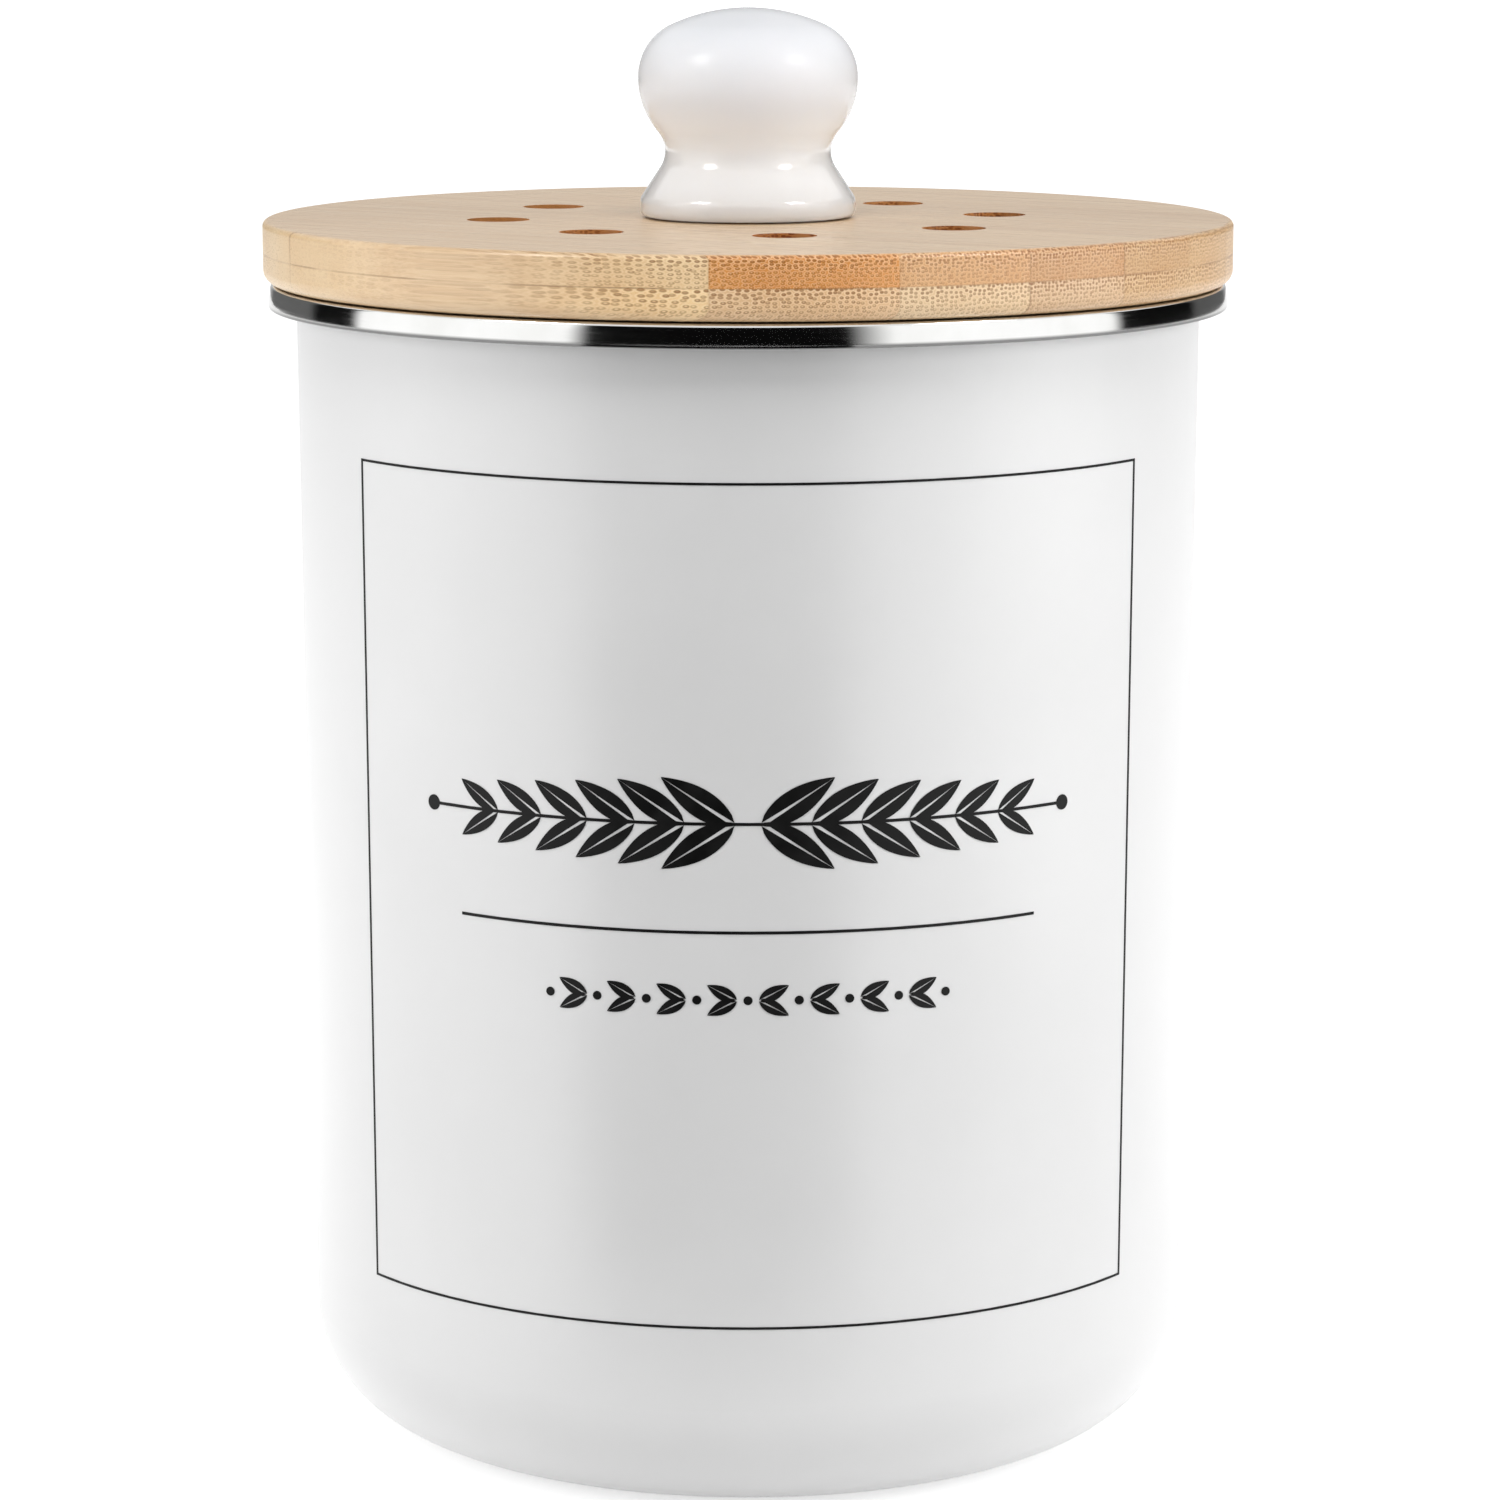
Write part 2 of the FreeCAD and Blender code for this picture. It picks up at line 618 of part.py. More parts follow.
def make_screw(body, y, head_radius, head_height, shank_radius, shank_length):
    """Slotted pan-head screw with its head downward and the head's lower face at zero."""
    head = new_sketch(body, f"{body.Name}_head", "XY_Plane")
    add_circle(head, "0", y, head_radius)
    pad(body, f"{body.Name}_head_pad", head, head_height)
    round_rim(body, y, head_radius, f"{head_height} * {HEAD_ROUND_SHARE}")
    shank = new_sketch(body, f"{body.Name}_shank", "XY_Plane")
    add_circle(shank, "0", y, shank_radius)
    pad(body, f"{body.Name}_shank_pad", shank, f"{head_height} + {shank_length}")
    slot = new_sketch(body, f"{body.Name}_slot", "XY_Plane")
    half_width = f"({head_radius} * {SLOT_WIDTH_SHARE} / 2)"
    add_outline(slot, slot_corners("0", y, f"({head_radius} + overrun)", half_width))
    cut_up(body, f"{body.Name}_slot_cut", slot, f"{head_height} * {SLOT_DEPTH_SHARE}")


def round_rim(body, y, radius, rounding):
    """Round the lower rim of a screw's head, which may stand off the upright axis."""
    base = body.Tip
    centre = FreeCAD.Vector(0, value(y), 0)
    names = [
        f"Edge{number}" for number, edge in enumerate(base.Shape.Edges, start=1)
        if isinstance(edge.Curve, Part.Circle)
        and abs(edge.Curve.Radius - value(radius)) < MATCH
        and edge.Curve.Center.distanceToPoint(centre) < MATCH
    ]
    fillet = body.newObject("PartDesign::Fillet", f"{body.Name}_head_round")
    fillet.Base = (base, names)
    bind(fillet, "Radius", rounding)
    doc.recompute()


def make_clip_screws():
    """The turn buttons' screws, driven up into the plug."""
    body = new_body("clip_screws", f"{CLIP_BOTTOM} - clip_play - clip_head_height")
    length = "(2 * clip_play + clip_thickness + clip_screw_bite)"
    make_screw(body, CLIP_PIVOT, "clip_head_radius", "clip_head_height", "clip_screw_radius", length)
    ring = polar(body, "clip_screw_ring", [], CLIP_COUNT)
    ring.TransformMode = "Whole shape"
    doc.recompute()
    return body


def add_knob_outline(sketch):
    """Half outline of the knob: socket, foot, flange, waist, ball and crown, smooth from foot to crown."""
    flange_curve = value(KNOB_FLANGE_CURVE)
    waist_curve = value(KNOB_WAIST_CURVE)
    under_curve = value(KNOB_UNDER_CURVE)
    shoulder_curve = value(KNOB_SHOULDER_CURVE)
    flange_centre = f"{KNOB_FLANGE_RADIUS} - {KNOB_FLANGE_CURVE}"
    waist_centre = f"{KNOB_WAIST_RADIUS} + {KNOB_WAIST_CURVE}"
    under_centre = f"{KNOB_BALL_RADIUS} - {KNOB_UNDER_CURVE}"
    shoulder_centre = f"{KNOB_BALL_RADIUS} - {KNOB_SHOULDER_CURVE}"
    flange = vector(flange_centre, KNOB_FLANGE_HEIGHT)
    under = vector(under_centre, KNOB_BALL_HEIGHT)
    shoulder = vector(shoulder_centre, KNOB_BALL_HEIGHT)

    # The waist's circle touches the ball's lower circle
    waist_x = value(waist_centre)
    waist_drop = math.sqrt((waist_curve + under_curve) ** 2 - (waist_x - under.x) ** 2)
    waist = FreeCAD.Vector(waist_x, under.y - waist_drop, 0)
    under_angle = math.atan2(waist.y - under.y, waist.x - under.x)

    # A straight run touches the flange's circle and the waist's circle on opposite sides
    between = waist - flange
    run_angle = math.atan2(between.y, between.x) - math.acos((flange_curve + waist_curve) / between.Length)
    run_normal = FreeCAD.Vector(math.cos(run_angle), math.sin(run_angle), 0)
    foot_angle = -math.acos((value(KNOB_FOOT_RADIUS) - flange.x) / flange_curve)
    foot_join = flange + FreeCAD.Vector(math.cos(foot_angle), math.sin(foot_angle), 0) * flange_curve

    # The crown's circle is centred on the axis and touches the ball's upper circle from outside
    rise = value(f"knob_height - {KNOB_BALL_HEIGHT}")
    crown_curve = (shoulder.x ** 2 + rise ** 2 - shoulder_curve ** 2) / (2 * (rise - shoulder_curve))
    crown = FreeCAD.Vector(0, value("knob_height") - crown_curve, 0)
    crown_angle = math.atan2(shoulder.y - crown.y, shoulder.x - crown.x)

    corners = [
        ("0", "knob_socket_depth"),
        ("knob_socket_radius", "knob_socket_depth"),
        ("knob_socket_radius", "0"),
        (KNOB_FOOT_RADIUS, "0"),
    ]
    points = [vector(x, y) for x, y in corners] + [foot_join]
    lines = [
        sketch.addGeometry(Part.LineSegment(here, there)) for here, there in zip(points, points[1:])
    ]
    flange_arc = add_arc(sketch, flange, flange_curve, foot_angle, run_angle)
    run_start = flange + run_normal * flange_curve
    run_end = waist - run_normal * waist_curve
    run = sketch.addGeometry(Part.LineSegment(run_start, run_end))
    waist_arc = add_arc(sketch, waist, waist_curve, under_angle + math.pi, run_angle + math.pi)
    under_arc = add_arc(sketch, under, under_curve, under_angle, 0)
    shoulder_arc = add_arc(sketch, shoulder, shoulder_curve, 0, crown_angle)
    crown_arc = add_arc(sketch, crown, crown_curve, crown_angle, math.pi / 2)
    axis_line = sketch.addGeometry(Part.LineSegment(vector("0", "knob_height"), points[0]))

    for line, (x, y) in zip(lines, corners):
        hold_x(sketch, line, Spot.START, x)
        hold_y(sketch, line, Spot.START, y)
    for here, there in zip(lines, lines[1:] + [flange_arc]):
        join(sketch, here, there, "Coincident")
    sketch.addConstraint(Sketcher.Constraint("Vertical", lines[-1]))
    join(sketch, flange_arc, run)
    # The waist is the one arc that the outline follows clockwise
    sketch.addConstraint(Sketcher.Constraint("Tangent", run, Spot.END, waist_arc, Spot.END))
    sketch.addConstraint(Sketcher.Constraint("Tangent", waist_arc, Spot.START, under_arc, Spot.START))
    join(sketch, under_arc, shoulder_arc)
    join(sketch, shoulder_arc, crown_arc)
    join(sketch, crown_arc, axis_line, "Coincident")
    join(sketch, axis_line, lines[0], "Coincident")

    hold_x(sketch, flange_arc, Spot.CENTRE, flange_centre)
    hold_y(sketch, flange_arc, Spot.CENTRE, KNOB_FLANGE_HEIGHT)
    hold_radius(sketch, flange_arc, KNOB_FLANGE_CURVE)
    hold_x(sketch, waist_arc, Spot.CENTRE, waist_centre)
    hold_radius(sketch, waist_arc, KNOB_WAIST_CURVE)
    hold_x(sketch, under_arc, Spot.CENTRE, under_centre)
    hold_y(sketch, under_arc, Spot.CENTRE, KNOB_BALL_HEIGHT)
    hold_radius(sketch, under_arc, KNOB_UNDER_CURVE)
    hold_y(sketch, under_arc, Spot.END, KNOB_BALL_HEIGHT)
    hold_radius(sketch, shoulder_arc, KNOB_SHOULDER_CURVE)
    hold_x(sketch, crown_arc, Spot.CENTRE, "0")
    hold_x(sketch, axis_line, Spot.START, "0")
    hold_y(sketch, axis_line, Spot.START, "knob_height")


def make_knob():
    body = new_body("knob", LID_TOP)
    sketch = new_sketch(body, "knob_outline", "XZ_Plane")
    add_knob_outline(sketch)
    turn_sketch(body, sketch)
    return body


def make_knob_insert():
    """Threaded bush cemented in the knob's socket, flush with its foot."""
    body = new_body("knob_insert", LID_TOP)
    outside = "(knob_socket_radius - cement_gap)"
    bore = "(knob_screw_radius + thread_gap)"
    length = "(knob_socket_depth - insert_headroom)"
    turn(body, [(bore, "0"), (outside, "0"), (outside, length), (bore, length)])
    return body


def make_knob_screw():
    """Screw from under the lid up into the knob's bush."""
    body = new_body("knob_screw", "pail_height + head_cover")
    length = f"(washer_thickness + 2 * ply_thickness - {COUNTERBORE_DEPTH} + knob_screw_bite)"
    make_screw(body, "0", "knob_head_radius", "knob_head_height", "knob_screw_radius", length)
    return body


def make_knob_washer():
    body = new_body("knob_washer", "pail_height + head_cover + knob_head_height")
    turn(body, [
        (SCREW_HOLE, "0"),
        ("washer_radius", "0"),
        ("washer_radius", "washer_thickness"),
        (SCREW_HOLE, "washer_thickness"),
    ])
    return body


def check_document(pieces):
    """Stop if any feature failed, or if a piece is empty or faulty."""
    for item in doc.Objects:
        assert not {"Invalid", "Error"} & set(item.State), f"{item.Name} is {item.State}"
    for piece in pieces:
        shape = piece.Shape
        assert not shape.isNull() and shape.isValid() and shape.Solids, f"{piece.Label} is faulty"


def write_steps(pieces):
    os.makedirs("parts", exist_ok=True)
    for piece in pieces:
        piece.Shape.exportStep(f"parts/{piece.Label}.step")
        print(piece.Label, len(piece.Shape.Solids), round(piece.Shape.Volume, 1))


pieces = [make_pail_shell(), make_rim_hoop(), make_inner_bucket()]
pieces += make_strips(make_top_ply(), "top", GLUE_LINE)
pieces += make_strips(make_bottom_ply(), "bottom", "pail_height")
pieces += [make_lid_plug(), make_lid_seal(), make_charcoal_filter()]
pieces += [make_filter_clip(number) for number in range(1, CLIP_COUNT + 1)]
pieces += [make_clip_screws(), make_knob(), make_knob_insert(), make_knob_screw(), make_knob_washer()]

doc.recompute()
check_document(pieces)
write_steps(pieces)
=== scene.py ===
"""Looks of the compost caddy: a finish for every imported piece, a finer rim hoop and knob, the printed panel
on the pail, light and camera.

Metres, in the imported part's frame: the base stands at z = 0 and the front faces -Y.
"""

import math

import bmesh
import bpy
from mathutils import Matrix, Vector


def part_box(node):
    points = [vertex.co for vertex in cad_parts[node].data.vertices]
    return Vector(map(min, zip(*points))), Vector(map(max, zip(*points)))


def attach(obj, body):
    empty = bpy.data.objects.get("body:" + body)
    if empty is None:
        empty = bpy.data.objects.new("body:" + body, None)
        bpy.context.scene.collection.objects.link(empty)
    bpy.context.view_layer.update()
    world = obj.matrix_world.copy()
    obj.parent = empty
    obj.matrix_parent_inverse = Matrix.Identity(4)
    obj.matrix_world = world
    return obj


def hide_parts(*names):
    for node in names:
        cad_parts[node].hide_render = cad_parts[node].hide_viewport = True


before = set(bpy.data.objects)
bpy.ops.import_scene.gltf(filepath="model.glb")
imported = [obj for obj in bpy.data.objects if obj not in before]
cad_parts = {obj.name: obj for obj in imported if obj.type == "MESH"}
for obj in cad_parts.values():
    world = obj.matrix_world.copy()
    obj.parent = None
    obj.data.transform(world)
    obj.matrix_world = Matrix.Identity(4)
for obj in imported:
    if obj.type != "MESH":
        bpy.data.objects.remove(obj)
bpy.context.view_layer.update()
scene = bpy.context.scene

MM = 0.001

# Pail wall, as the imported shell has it
WALL_BASE_RADIUS = 77.9 * MM
WALL_SLOPE = 1.4 / 202.3
# Lid: two plies of bamboo, in strips that slant from the back left to the front right
LID_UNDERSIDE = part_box("bottom_strip_5")[0][2]
LID_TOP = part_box("top_strip_5")[1][2]
PLY = (LID_TOP - LID_UNDERSIDE) / 2
GLUE_HEIGHT = LID_UNDERSIDE + PLY
GRAIN_SLANT = math.radians(55.0)
FIRST_JOINT = -73.05 * MM
STRIP_WIDTH = 20.33 * MM
STRIP_JOINTS = tuple(FIRST_JOINT + number * STRIP_WIDTH for number in range(8))
VENT_ZONE = 62.0 * MM
# Waves in the run of the fibres, in waves to the metre, and how far they carry a bundle
WAVES_ACROSS = 45.0
WAVES_ALONG = 14.0
BUNDLE_SWAY = 1.6 * MM
BUNDLE_LIFT = 1.2 * MM
# Rim hoop: its lower edge, the heights over which a painted dark reflection above it fades out, and where its
# ends are welded
HOOP_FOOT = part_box("rim_hoop")[0][2]
HEM_REFLECTION_FULL = 0.25 * MM
HEM_REFLECTION_END = 0.95 * MM
SEAM_TURN = math.radians(154.0)
# Knob, above the lid: the bare foot with its painted contact shadow, and the heights over which the painted
# light and the glossier coat of the waist and foot fade out
BARE_FOOT_SHADOW = 0.26 * MM
BARE_FOOT_SHADOW_END = 0.32 * MM
LOWER_LIGHT_GLOSS_FULL = 9.0 * MM
LOWER_LIGHT_GLOSS_END = 22.0 * MM


def tone(red, green, blue):
    """A colour given in the 0 to 255 steps of a screen, as the linear colour that a shader takes."""
    def linear(step):
        part = step / 255.0
        return part / 12.92 if part <= 0.04045 else ((part + 0.055) / 1.055) ** 2.4
    return (linear(red), linear(green), linear(blue), 1.0)


# Node helpers

def add_node(tree, kind, inputs=None, **settings):
    """Add a node. Each input is a plain value, or the socket that feeds it."""
    node = tree.nodes.new(kind)
    for name, setting in settings.items():
        setattr(node, name, setting)
    for key, feed in (inputs or {}).items():
        if isinstance(feed, bpy.types.NodeSocket):
            tree.links.new(feed, node.inputs[key])
        else:
            node.inputs[key].default_value = feed
    return node


def calc(tree, operation, *feeds, clamp=False):
    """One step of arithmetic."""
    node = add_node(tree, "ShaderNodeMath", dict(enumerate(feeds)), operation=operation, use_clamp=clamp)
    return node.outputs[0]


def vector_calc(tree, operation, *feeds):
    node = add_node(tree, "ShaderNodeVectorMath", dict(enumerate(feeds)), operation=operation)
    return node.outputs["Value" if operation in ("DOT_PRODUCT", "LENGTH") else "Vector"]


def ramp(tree, feed, low, high, to_low=0.0, to_high=1.0):
    """Ease a value from one range to another, held at both ends."""
    inputs = {"Value": feed, "From Min": low, "From Max": high, "To Min": to_low, "To Max": to_high}
    return add_node(tree, "ShaderNodeMapRange", inputs, interpolation_type="SMOOTHSTEP").outputs["Result"]


def blend(tree, share, first, second, mode="MIX"):
    """Mix two colours."""
    node = add_node(tree, "ShaderNodeMix", data_type="RGBA", blend_type=mode)
    for index, feed in ((0, share), (6, first), (7, second)):
        if isinstance(feed, bpy.types.NodeSocket):
            tree.links.new(feed, node.inputs[index])
        else:
            node.inputs[index].default_value = feed
    return node.outputs[2]


def split(tree, vector):
    return add_node(tree, "ShaderNodeSeparateXYZ", {0: vector}).outputs


def combine(tree, *parts):
    return add_node(tree, "ShaderNodeCombineXYZ", dict(enumerate(parts))).outputs[0]


def noise(tree, vector, scale, detail=2.0, roughness=0.5):
    inputs = {"Vector": vector, "Scale": scale, "Detail": detail, "Roughness": roughness}
    return add_node(tree, "ShaderNodeTexNoise", inputs, noise_dimensions="3D").outputs["Fac"]


def new_group(name, kind, inputs, outputs):
    """An empty node group with its sockets, and its input and output nodes."""
    group = bpy.data.node_groups.new(name, kind)
    for label, socket, default in inputs:
        made = group.interface.new_socket(label, in_out="INPUT", socket_type=socket)
        if default is not None:
            made.default_value = default
    for label, socket in outputs:
        group.interface.new_socket(label, in_out="OUTPUT", socket_type=socket)
    return group, group.nodes.new("NodeGroupInput").outputs, group.nodes.new("NodeGroupOutput")


def put_out(group, sink, **feeds):
    for label, feed in feeds.items():
        group.links.new(feed, sink.inputs[label])


# Shader groups

def make_drift():
    """Slow change of tone over a surface, with finer cloudiness in it."""
    group, given, sink = new_group(
        "tone_drift", "ShaderNodeTree",
        (("Coordinates", "NodeSocketVector", None), ("Patch Size", "NodeSocketFloat", 30.0 * MM)),
        (("Drift", "NodeSocketFloat"),),
    )
    scale = calc(group, "DIVIDE", 1.0, given["Patch Size"])
    cloud = noise(group, given["Coordinates"], scale, 4.0, 0.55)
    put_out(group, sink, Drift=ramp(group, cloud, 0.3, 0.7))
    return group


def make_pits():
    """Fine uneven skin: orange peel in a fired glaze, the grain of a moulding, the cells of a foam."""
    group, given, sink = new_group(
        "skin_grain", "ShaderNodeTree",
        (("Coordinates", "NodeSocketVector", None), ("Grain Size", "NodeSocketFloat", 2.0 * MM)),
        (("Grain", "NodeSocketFloat"), ("Cells", "NodeSocketFloat")),
    )
    scale = calc(group, "DIVIDE", 1.0, given["Grain Size"])
    cell = add_node(group, "ShaderNodeTexVoronoi", {"Vector": given["Coordinates"], "Scale": scale})
    grain = noise(group, given["Coordinates"], scale, 2.0)
    put_out(group, sink, Grain=grain, Cells=cell.outputs["Distance"])
    return group


def make_rings():
    """Fine lines left by polishing or turning, running round the upright axis."""
    group, given, sink = new_group(
        "polish_rings", "ShaderNodeTree",
        (("Coordinates", "NodeSocketVector", None), ("Line Spacing", "NodeSocketFloat", 0.3 * MM)),
        (("Lines", "NodeSocketFloat"), ("Turn", "NodeSocketFloat")),
    )
    x, y, z = split(group, given["Coordinates"])
    radius = vector_calc(group, "LENGTH", combine(group, x, y, 0.0))
    turn = calc(group, "ARCTAN2", x, calc(group, "MULTIPLY", y, -1.0))
    scale = calc(group, "DIVIDE", 1.0, given["Line Spacing"])
    along = calc(group, "MULTIPLY", turn, 2.0)
    place = combine(group, calc(group, "MULTIPLY", radius, scale), along, calc(group, "MULTIPLY", z, scale))
    put_out(group, sink, Lines=noise(group, place, 1.0, 3.0, 0.6), Turn=turn)
    return group


def slant_axes(group, coordinates):
    """How far a place lies across the strips of the lid, along them, and up."""
    x, y, z = split(group, coordinates)
    sine, cosine = math.sin(GRAIN_SLANT), math.cos(GRAIN_SLANT)
    across = calc(group, "ADD", calc(group, "MULTIPLY", x, cosine), calc(group, "MULTIPLY", y, sine))
    along = calc(group, "SUBTRACT", calc(group, "MULTIPLY", x, sine), calc(group, "MULTIPLY", y, cosine))
    return across, along, z


def make_bamboo_fibre():
    """Bamboo as a solid.

    Bundles of fibre run along the strips, and are cut as dots at the ends and as streaks at the sides.
    """
    group, given, sink = new_group(
        "bamboo_fibre", "ShaderNodeTree",
        (
            ("Coordinates", "NodeSocketVector", None),
            ("Bundle Spacing", "NodeSocketFloat", 0.9 * MM),
            ("Shift", "NodeSocketFloat", 0.0),
            ("Ply Foot", "NodeSocketFloat", LID_UNDERSIDE),
        ),
        (
            ("Bundles", "NodeSocketFloat"), ("Pith", "NodeSocketFloat"), ("Fibre", "NodeSocketFloat"),
            ("Streaks", "NodeSocketFloat"), ("Ends", "NodeSocketFloat"), ("Along", "NodeSocketFloat"),
            ("Bore", "NodeSocketFloat"),
        ),
    )
    across, along, z = slant_axes(group, given["Coordinates"])
    bend = combine(
        group,
        calc(group, "MULTIPLY", across, WAVES_ACROSS),
        calc(group, "MULTIPLY", along, WAVES_ALONG),
        given["Shift"],
    )
    wander = add_node(group, "ShaderNodeTexNoise", {"Vector": bend, "Scale": 1.0, "Detail": 2.0})
    sway, lift, _ = split(group, wander.outputs["Color"])
    section = combine(
        group,
        calc(group, "MULTIPLY_ADD", sway, BUNDLE_SWAY, across),
        calc(group, "MULTIPLY_ADD", lift, BUNDLE_LIFT, z),
        0.0,
    )
    scale = calc(group, "DIVIDE", 1.0, given["Bundle Spacing"])
    cells = vector_calc(group, "MULTIPLY", section, combine(group, scale, scale, 0.0))
    cells = vector_calc(group, "ADD", cells, combine(group, given["Shift"], given["Shift"], 0.0))

    def bundle(vector):
        inputs = {"Vector": vector, "Scale": 1.0, "Randomness": 0.52}
        return add_node(group, "ShaderNodeTexVoronoi", inputs, voronoi_dimensions="2D").outputs

    # Bundles lie closer and darker towards the outside of the stalk, which is the upper side of each ply
    outward = calc(group, "DIVIDE", calc(group, "SUBTRACT", z, given["Ply Foot"]), PLY, clamp=True)
    whole = bundle(cells)
    middle = bundle(vector_calc(group, "ADD", cells, (0.03, -0.09, 0.0)))
    disc = ramp(group, whole["Distance"], 0.24, 0.42, 1.0, 0.0)
    heart = ramp(group, middle["Distance"], 0.05, 0.24, 1.0, 0.0)
    heart = calc(group, "MULTIPLY", heart, ramp(group, outward, 0.3, 0.95, 1.0, 0.1))
    halo_start = ramp(group, whole["Distance"], 0.38, 0.46)
    halo_end = ramp(group, whole["Distance"], 0.5, 0.66, 1.0, 0.0)
    halo = calc(group, "MULTIPLY", halo_start, halo_end)
    # No two bundles are equally dark, and they fade towards the back ends of the strips
    mixed = split(group, whole["Color"])[0]
    weight = ramp(group, outward, 0.0, 1.0, 0.55, 1.0)
    weight = calc(group, "MULTIPLY", weight, ramp(group, mixed, 0.0, 1.0, 0.65, 1.0))
    weight = calc(group, "MULTIPLY", weight, ramp(group, along, -35.0 * MM, 10.0 * MM, 0.12, 1.0))
    dark = calc(group, "MULTIPLY", calc(group, "SUBTRACT", disc, heart, clamp=True), weight)
    light = calc(group, "MULTIPLY", calc(group, "MAXIMUM", heart, halo), weight)

    def drawn_out(across_scale, along_scale, detail):
        place = combine(
            group,
            calc(group, "MULTIPLY", across, across_scale),
            calc(group, "MULTIPLY", along, along_scale),
            calc(group, "MULTIPLY_ADD", z, across_scale, given["Shift"]),
        )
        return noise(group, place, 1.0, detail, 0.6)

    fibre = drawn_out(4200.0, 110.0, 2.0)
    streaks = drawn_out(420.0, 7.0, 4.0)
    normal = add_node(group, "ShaderNodeNewGeometry").outputs["Normal"]
    facing = slant_axes(group, normal)[1]
    ends = ramp(group, calc(group, "ABSOLUTE", facing), 0.05, 0.5)
    # The walls of the vents are the only upright faces near the middle of the lid
    x, y, _ = split(group, given["Coordinates"])
    middle_reach = vector_calc(group, "LENGTH", combine(group, x, y, 0.0))
    upright = ramp(group, calc(group, "ABSOLUTE", split(group, normal)[2]), 0.3, 0.7, 1.0, 0.0)
    inside = ramp(group, middle_reach, VENT_ZONE - 2.0 * MM, VENT_ZONE + 2.0 * MM, 1.0, 0.0)
    put_out(
        group, sink,
        Bundles=dark, Pith=light, Fibre=fibre, Streaks=streaks, Ends=ends, Along=along,
        Bore=calc(group, "MULTIPLY", upright, inside),
    )
    return group


def make_glue_lines():
    """Thin lines where the plies and the strips of the lid are glued."""
    group, given, sink = new_group(
        "glue_lines", "ShaderNodeTree",
        (("Coordinates", "NodeSocketVector", None), ("Line Width", "NodeSocketFloat", 0.2 * MM)),
        (("Lines", "NodeSocketFloat"),),
    )
    across, _, z = slant_axes(group, given["Coordinates"])
    nearest = calc(group, "ABSOLUTE", calc(group, "SUBTRACT", z, GLUE_HEIGHT))
    for joint in STRIP_JOINTS:
        off_joint = calc(group, "ABSOLUTE", calc(group, "SUBTRACT", across, joint))
        nearest = calc(group, "MINIMUM", nearest, off_joint)
    line = ramp(group, calc(group, "DIVIDE", nearest, given["Line Width"]), 0.3, 1.0, 1.0, 0.0)
    patchy = ramp(group, noise(group, given["Coordinates"], 70.0, 2.0), 0.4, 0.62, 0.25, 1.0)
    put_out(group, sink, Lines=calc(group, "MULTIPLY", line, patchy))
    return group


DRIFT = make_drift()
GRAIN = make_pits()
RINGS = make_rings()
BAMBOO = make_bamboo_fibre()
GLUE = make_glue_lines()


# Finishes

def new_finish(name):
    """An empty material, and the place on the piece that its patterns follow."""
    material = bpy.data.materials.new(name)
    material.use_nodes = True
    tree = material.node_tree
    tree.nodes.clear()
    return material, tree, add_node(tree, "ShaderNodeTexCoord").outputs["Object"]


def use(tree, group, coordinates, **values):
    """Place a shader group in a material with its own values."""
    node = add_node(tree, "ShaderNodeGroup", node_tree=group)
    tree.links.new(coordinates, node.inputs["Coordinates"])
    for label, setting in values.items():
        node.inputs[label.replace("_", " ")].default_value = setting
    return node.outputs


def bump(tree, height, distance, strength=1.0):
    inputs = {"Height": height, "Distance": distance, "Strength": strength}
    return add_node(tree, "ShaderNodeBump", inputs).outputs["Normal"]


def finish_with(tree, **inputs):
    """End a material in one shader."""
    named = {label.replace("_", " "): feed for label, feed in inputs.items()}
    shader = add_node(tree, "ShaderNodeBsdfPrincipled", named)
    sink = add_node(tree, "ShaderNodeOutputMaterial")
    tree.links.new(shader.outputs[0], sink.inputs["Surface"])


def enamel_finish():
    material, tree, place = new_finish("white_enamel")
    drift = use(tree, DRIFT, place, Patch_Size=50.0 * MM)["Drift"]
    grain = use(tree, GRAIN, place, Grain_Size=2.8 * MM)["Grain"]
    finish_with(
        tree,
        Base_Color=blend(tree, drift, tone(216, 216, 216), tone(220, 220, 220)),
        Roughness=ramp(tree, drift, 0.0, 1.0, 0.30, 0.36),
        Coat_Weight=1.0,
        Coat_Roughness=0.28,
        Normal=bump(tree, grain, 0.02 * MM, 0.6),
    )
    return material


def stainless_finish():
    material, tree, place = new_finish("polished_stainless")
    drift = use(tree, DRIFT, place, Patch_Size=12.0 * MM)["Drift"]
    rings = use(tree, RINGS, place, Line_Spacing=0.35 * MM)
    seam = calc(tree, "ABSOLUTE", calc(tree, "SUBTRACT", rings["Turn"], SEAM_TURN))
    seam = ramp(tree, seam, math.radians(0.05), math.radians(0.14), 1.0, 0.0)
    steel = blend(tree, drift, tone(224, 224, 222), tone(231, 231, 230))
    # Painted dark reflection along the crimped lower edge, standing in for the shaded pail wall that it
    # mirrors
    hem_reflection = ramp(tree, split(tree, place)[2], HOOP_FOOT + HEM_REFLECTION_FULL, HOOP_FOOT + HEM_REFLECTION_END, 0.85, 0.0)
    steel = blend(tree, hem_reflection, steel, tone(84, 84, 84))
    finish_with(
        tree,
        Base_Color=blend(tree, calc(tree, "MULTIPLY", seam, 0.45), steel, tone(96, 96, 94)),
        Metallic=1.0,
        Roughness=ramp(tree, rings["Lines"], 0.3, 0.7, 0.06, 0.11),
        Normal=bump(tree, rings["Lines"], 0.004 * MM, 0.5),
    )
    return material


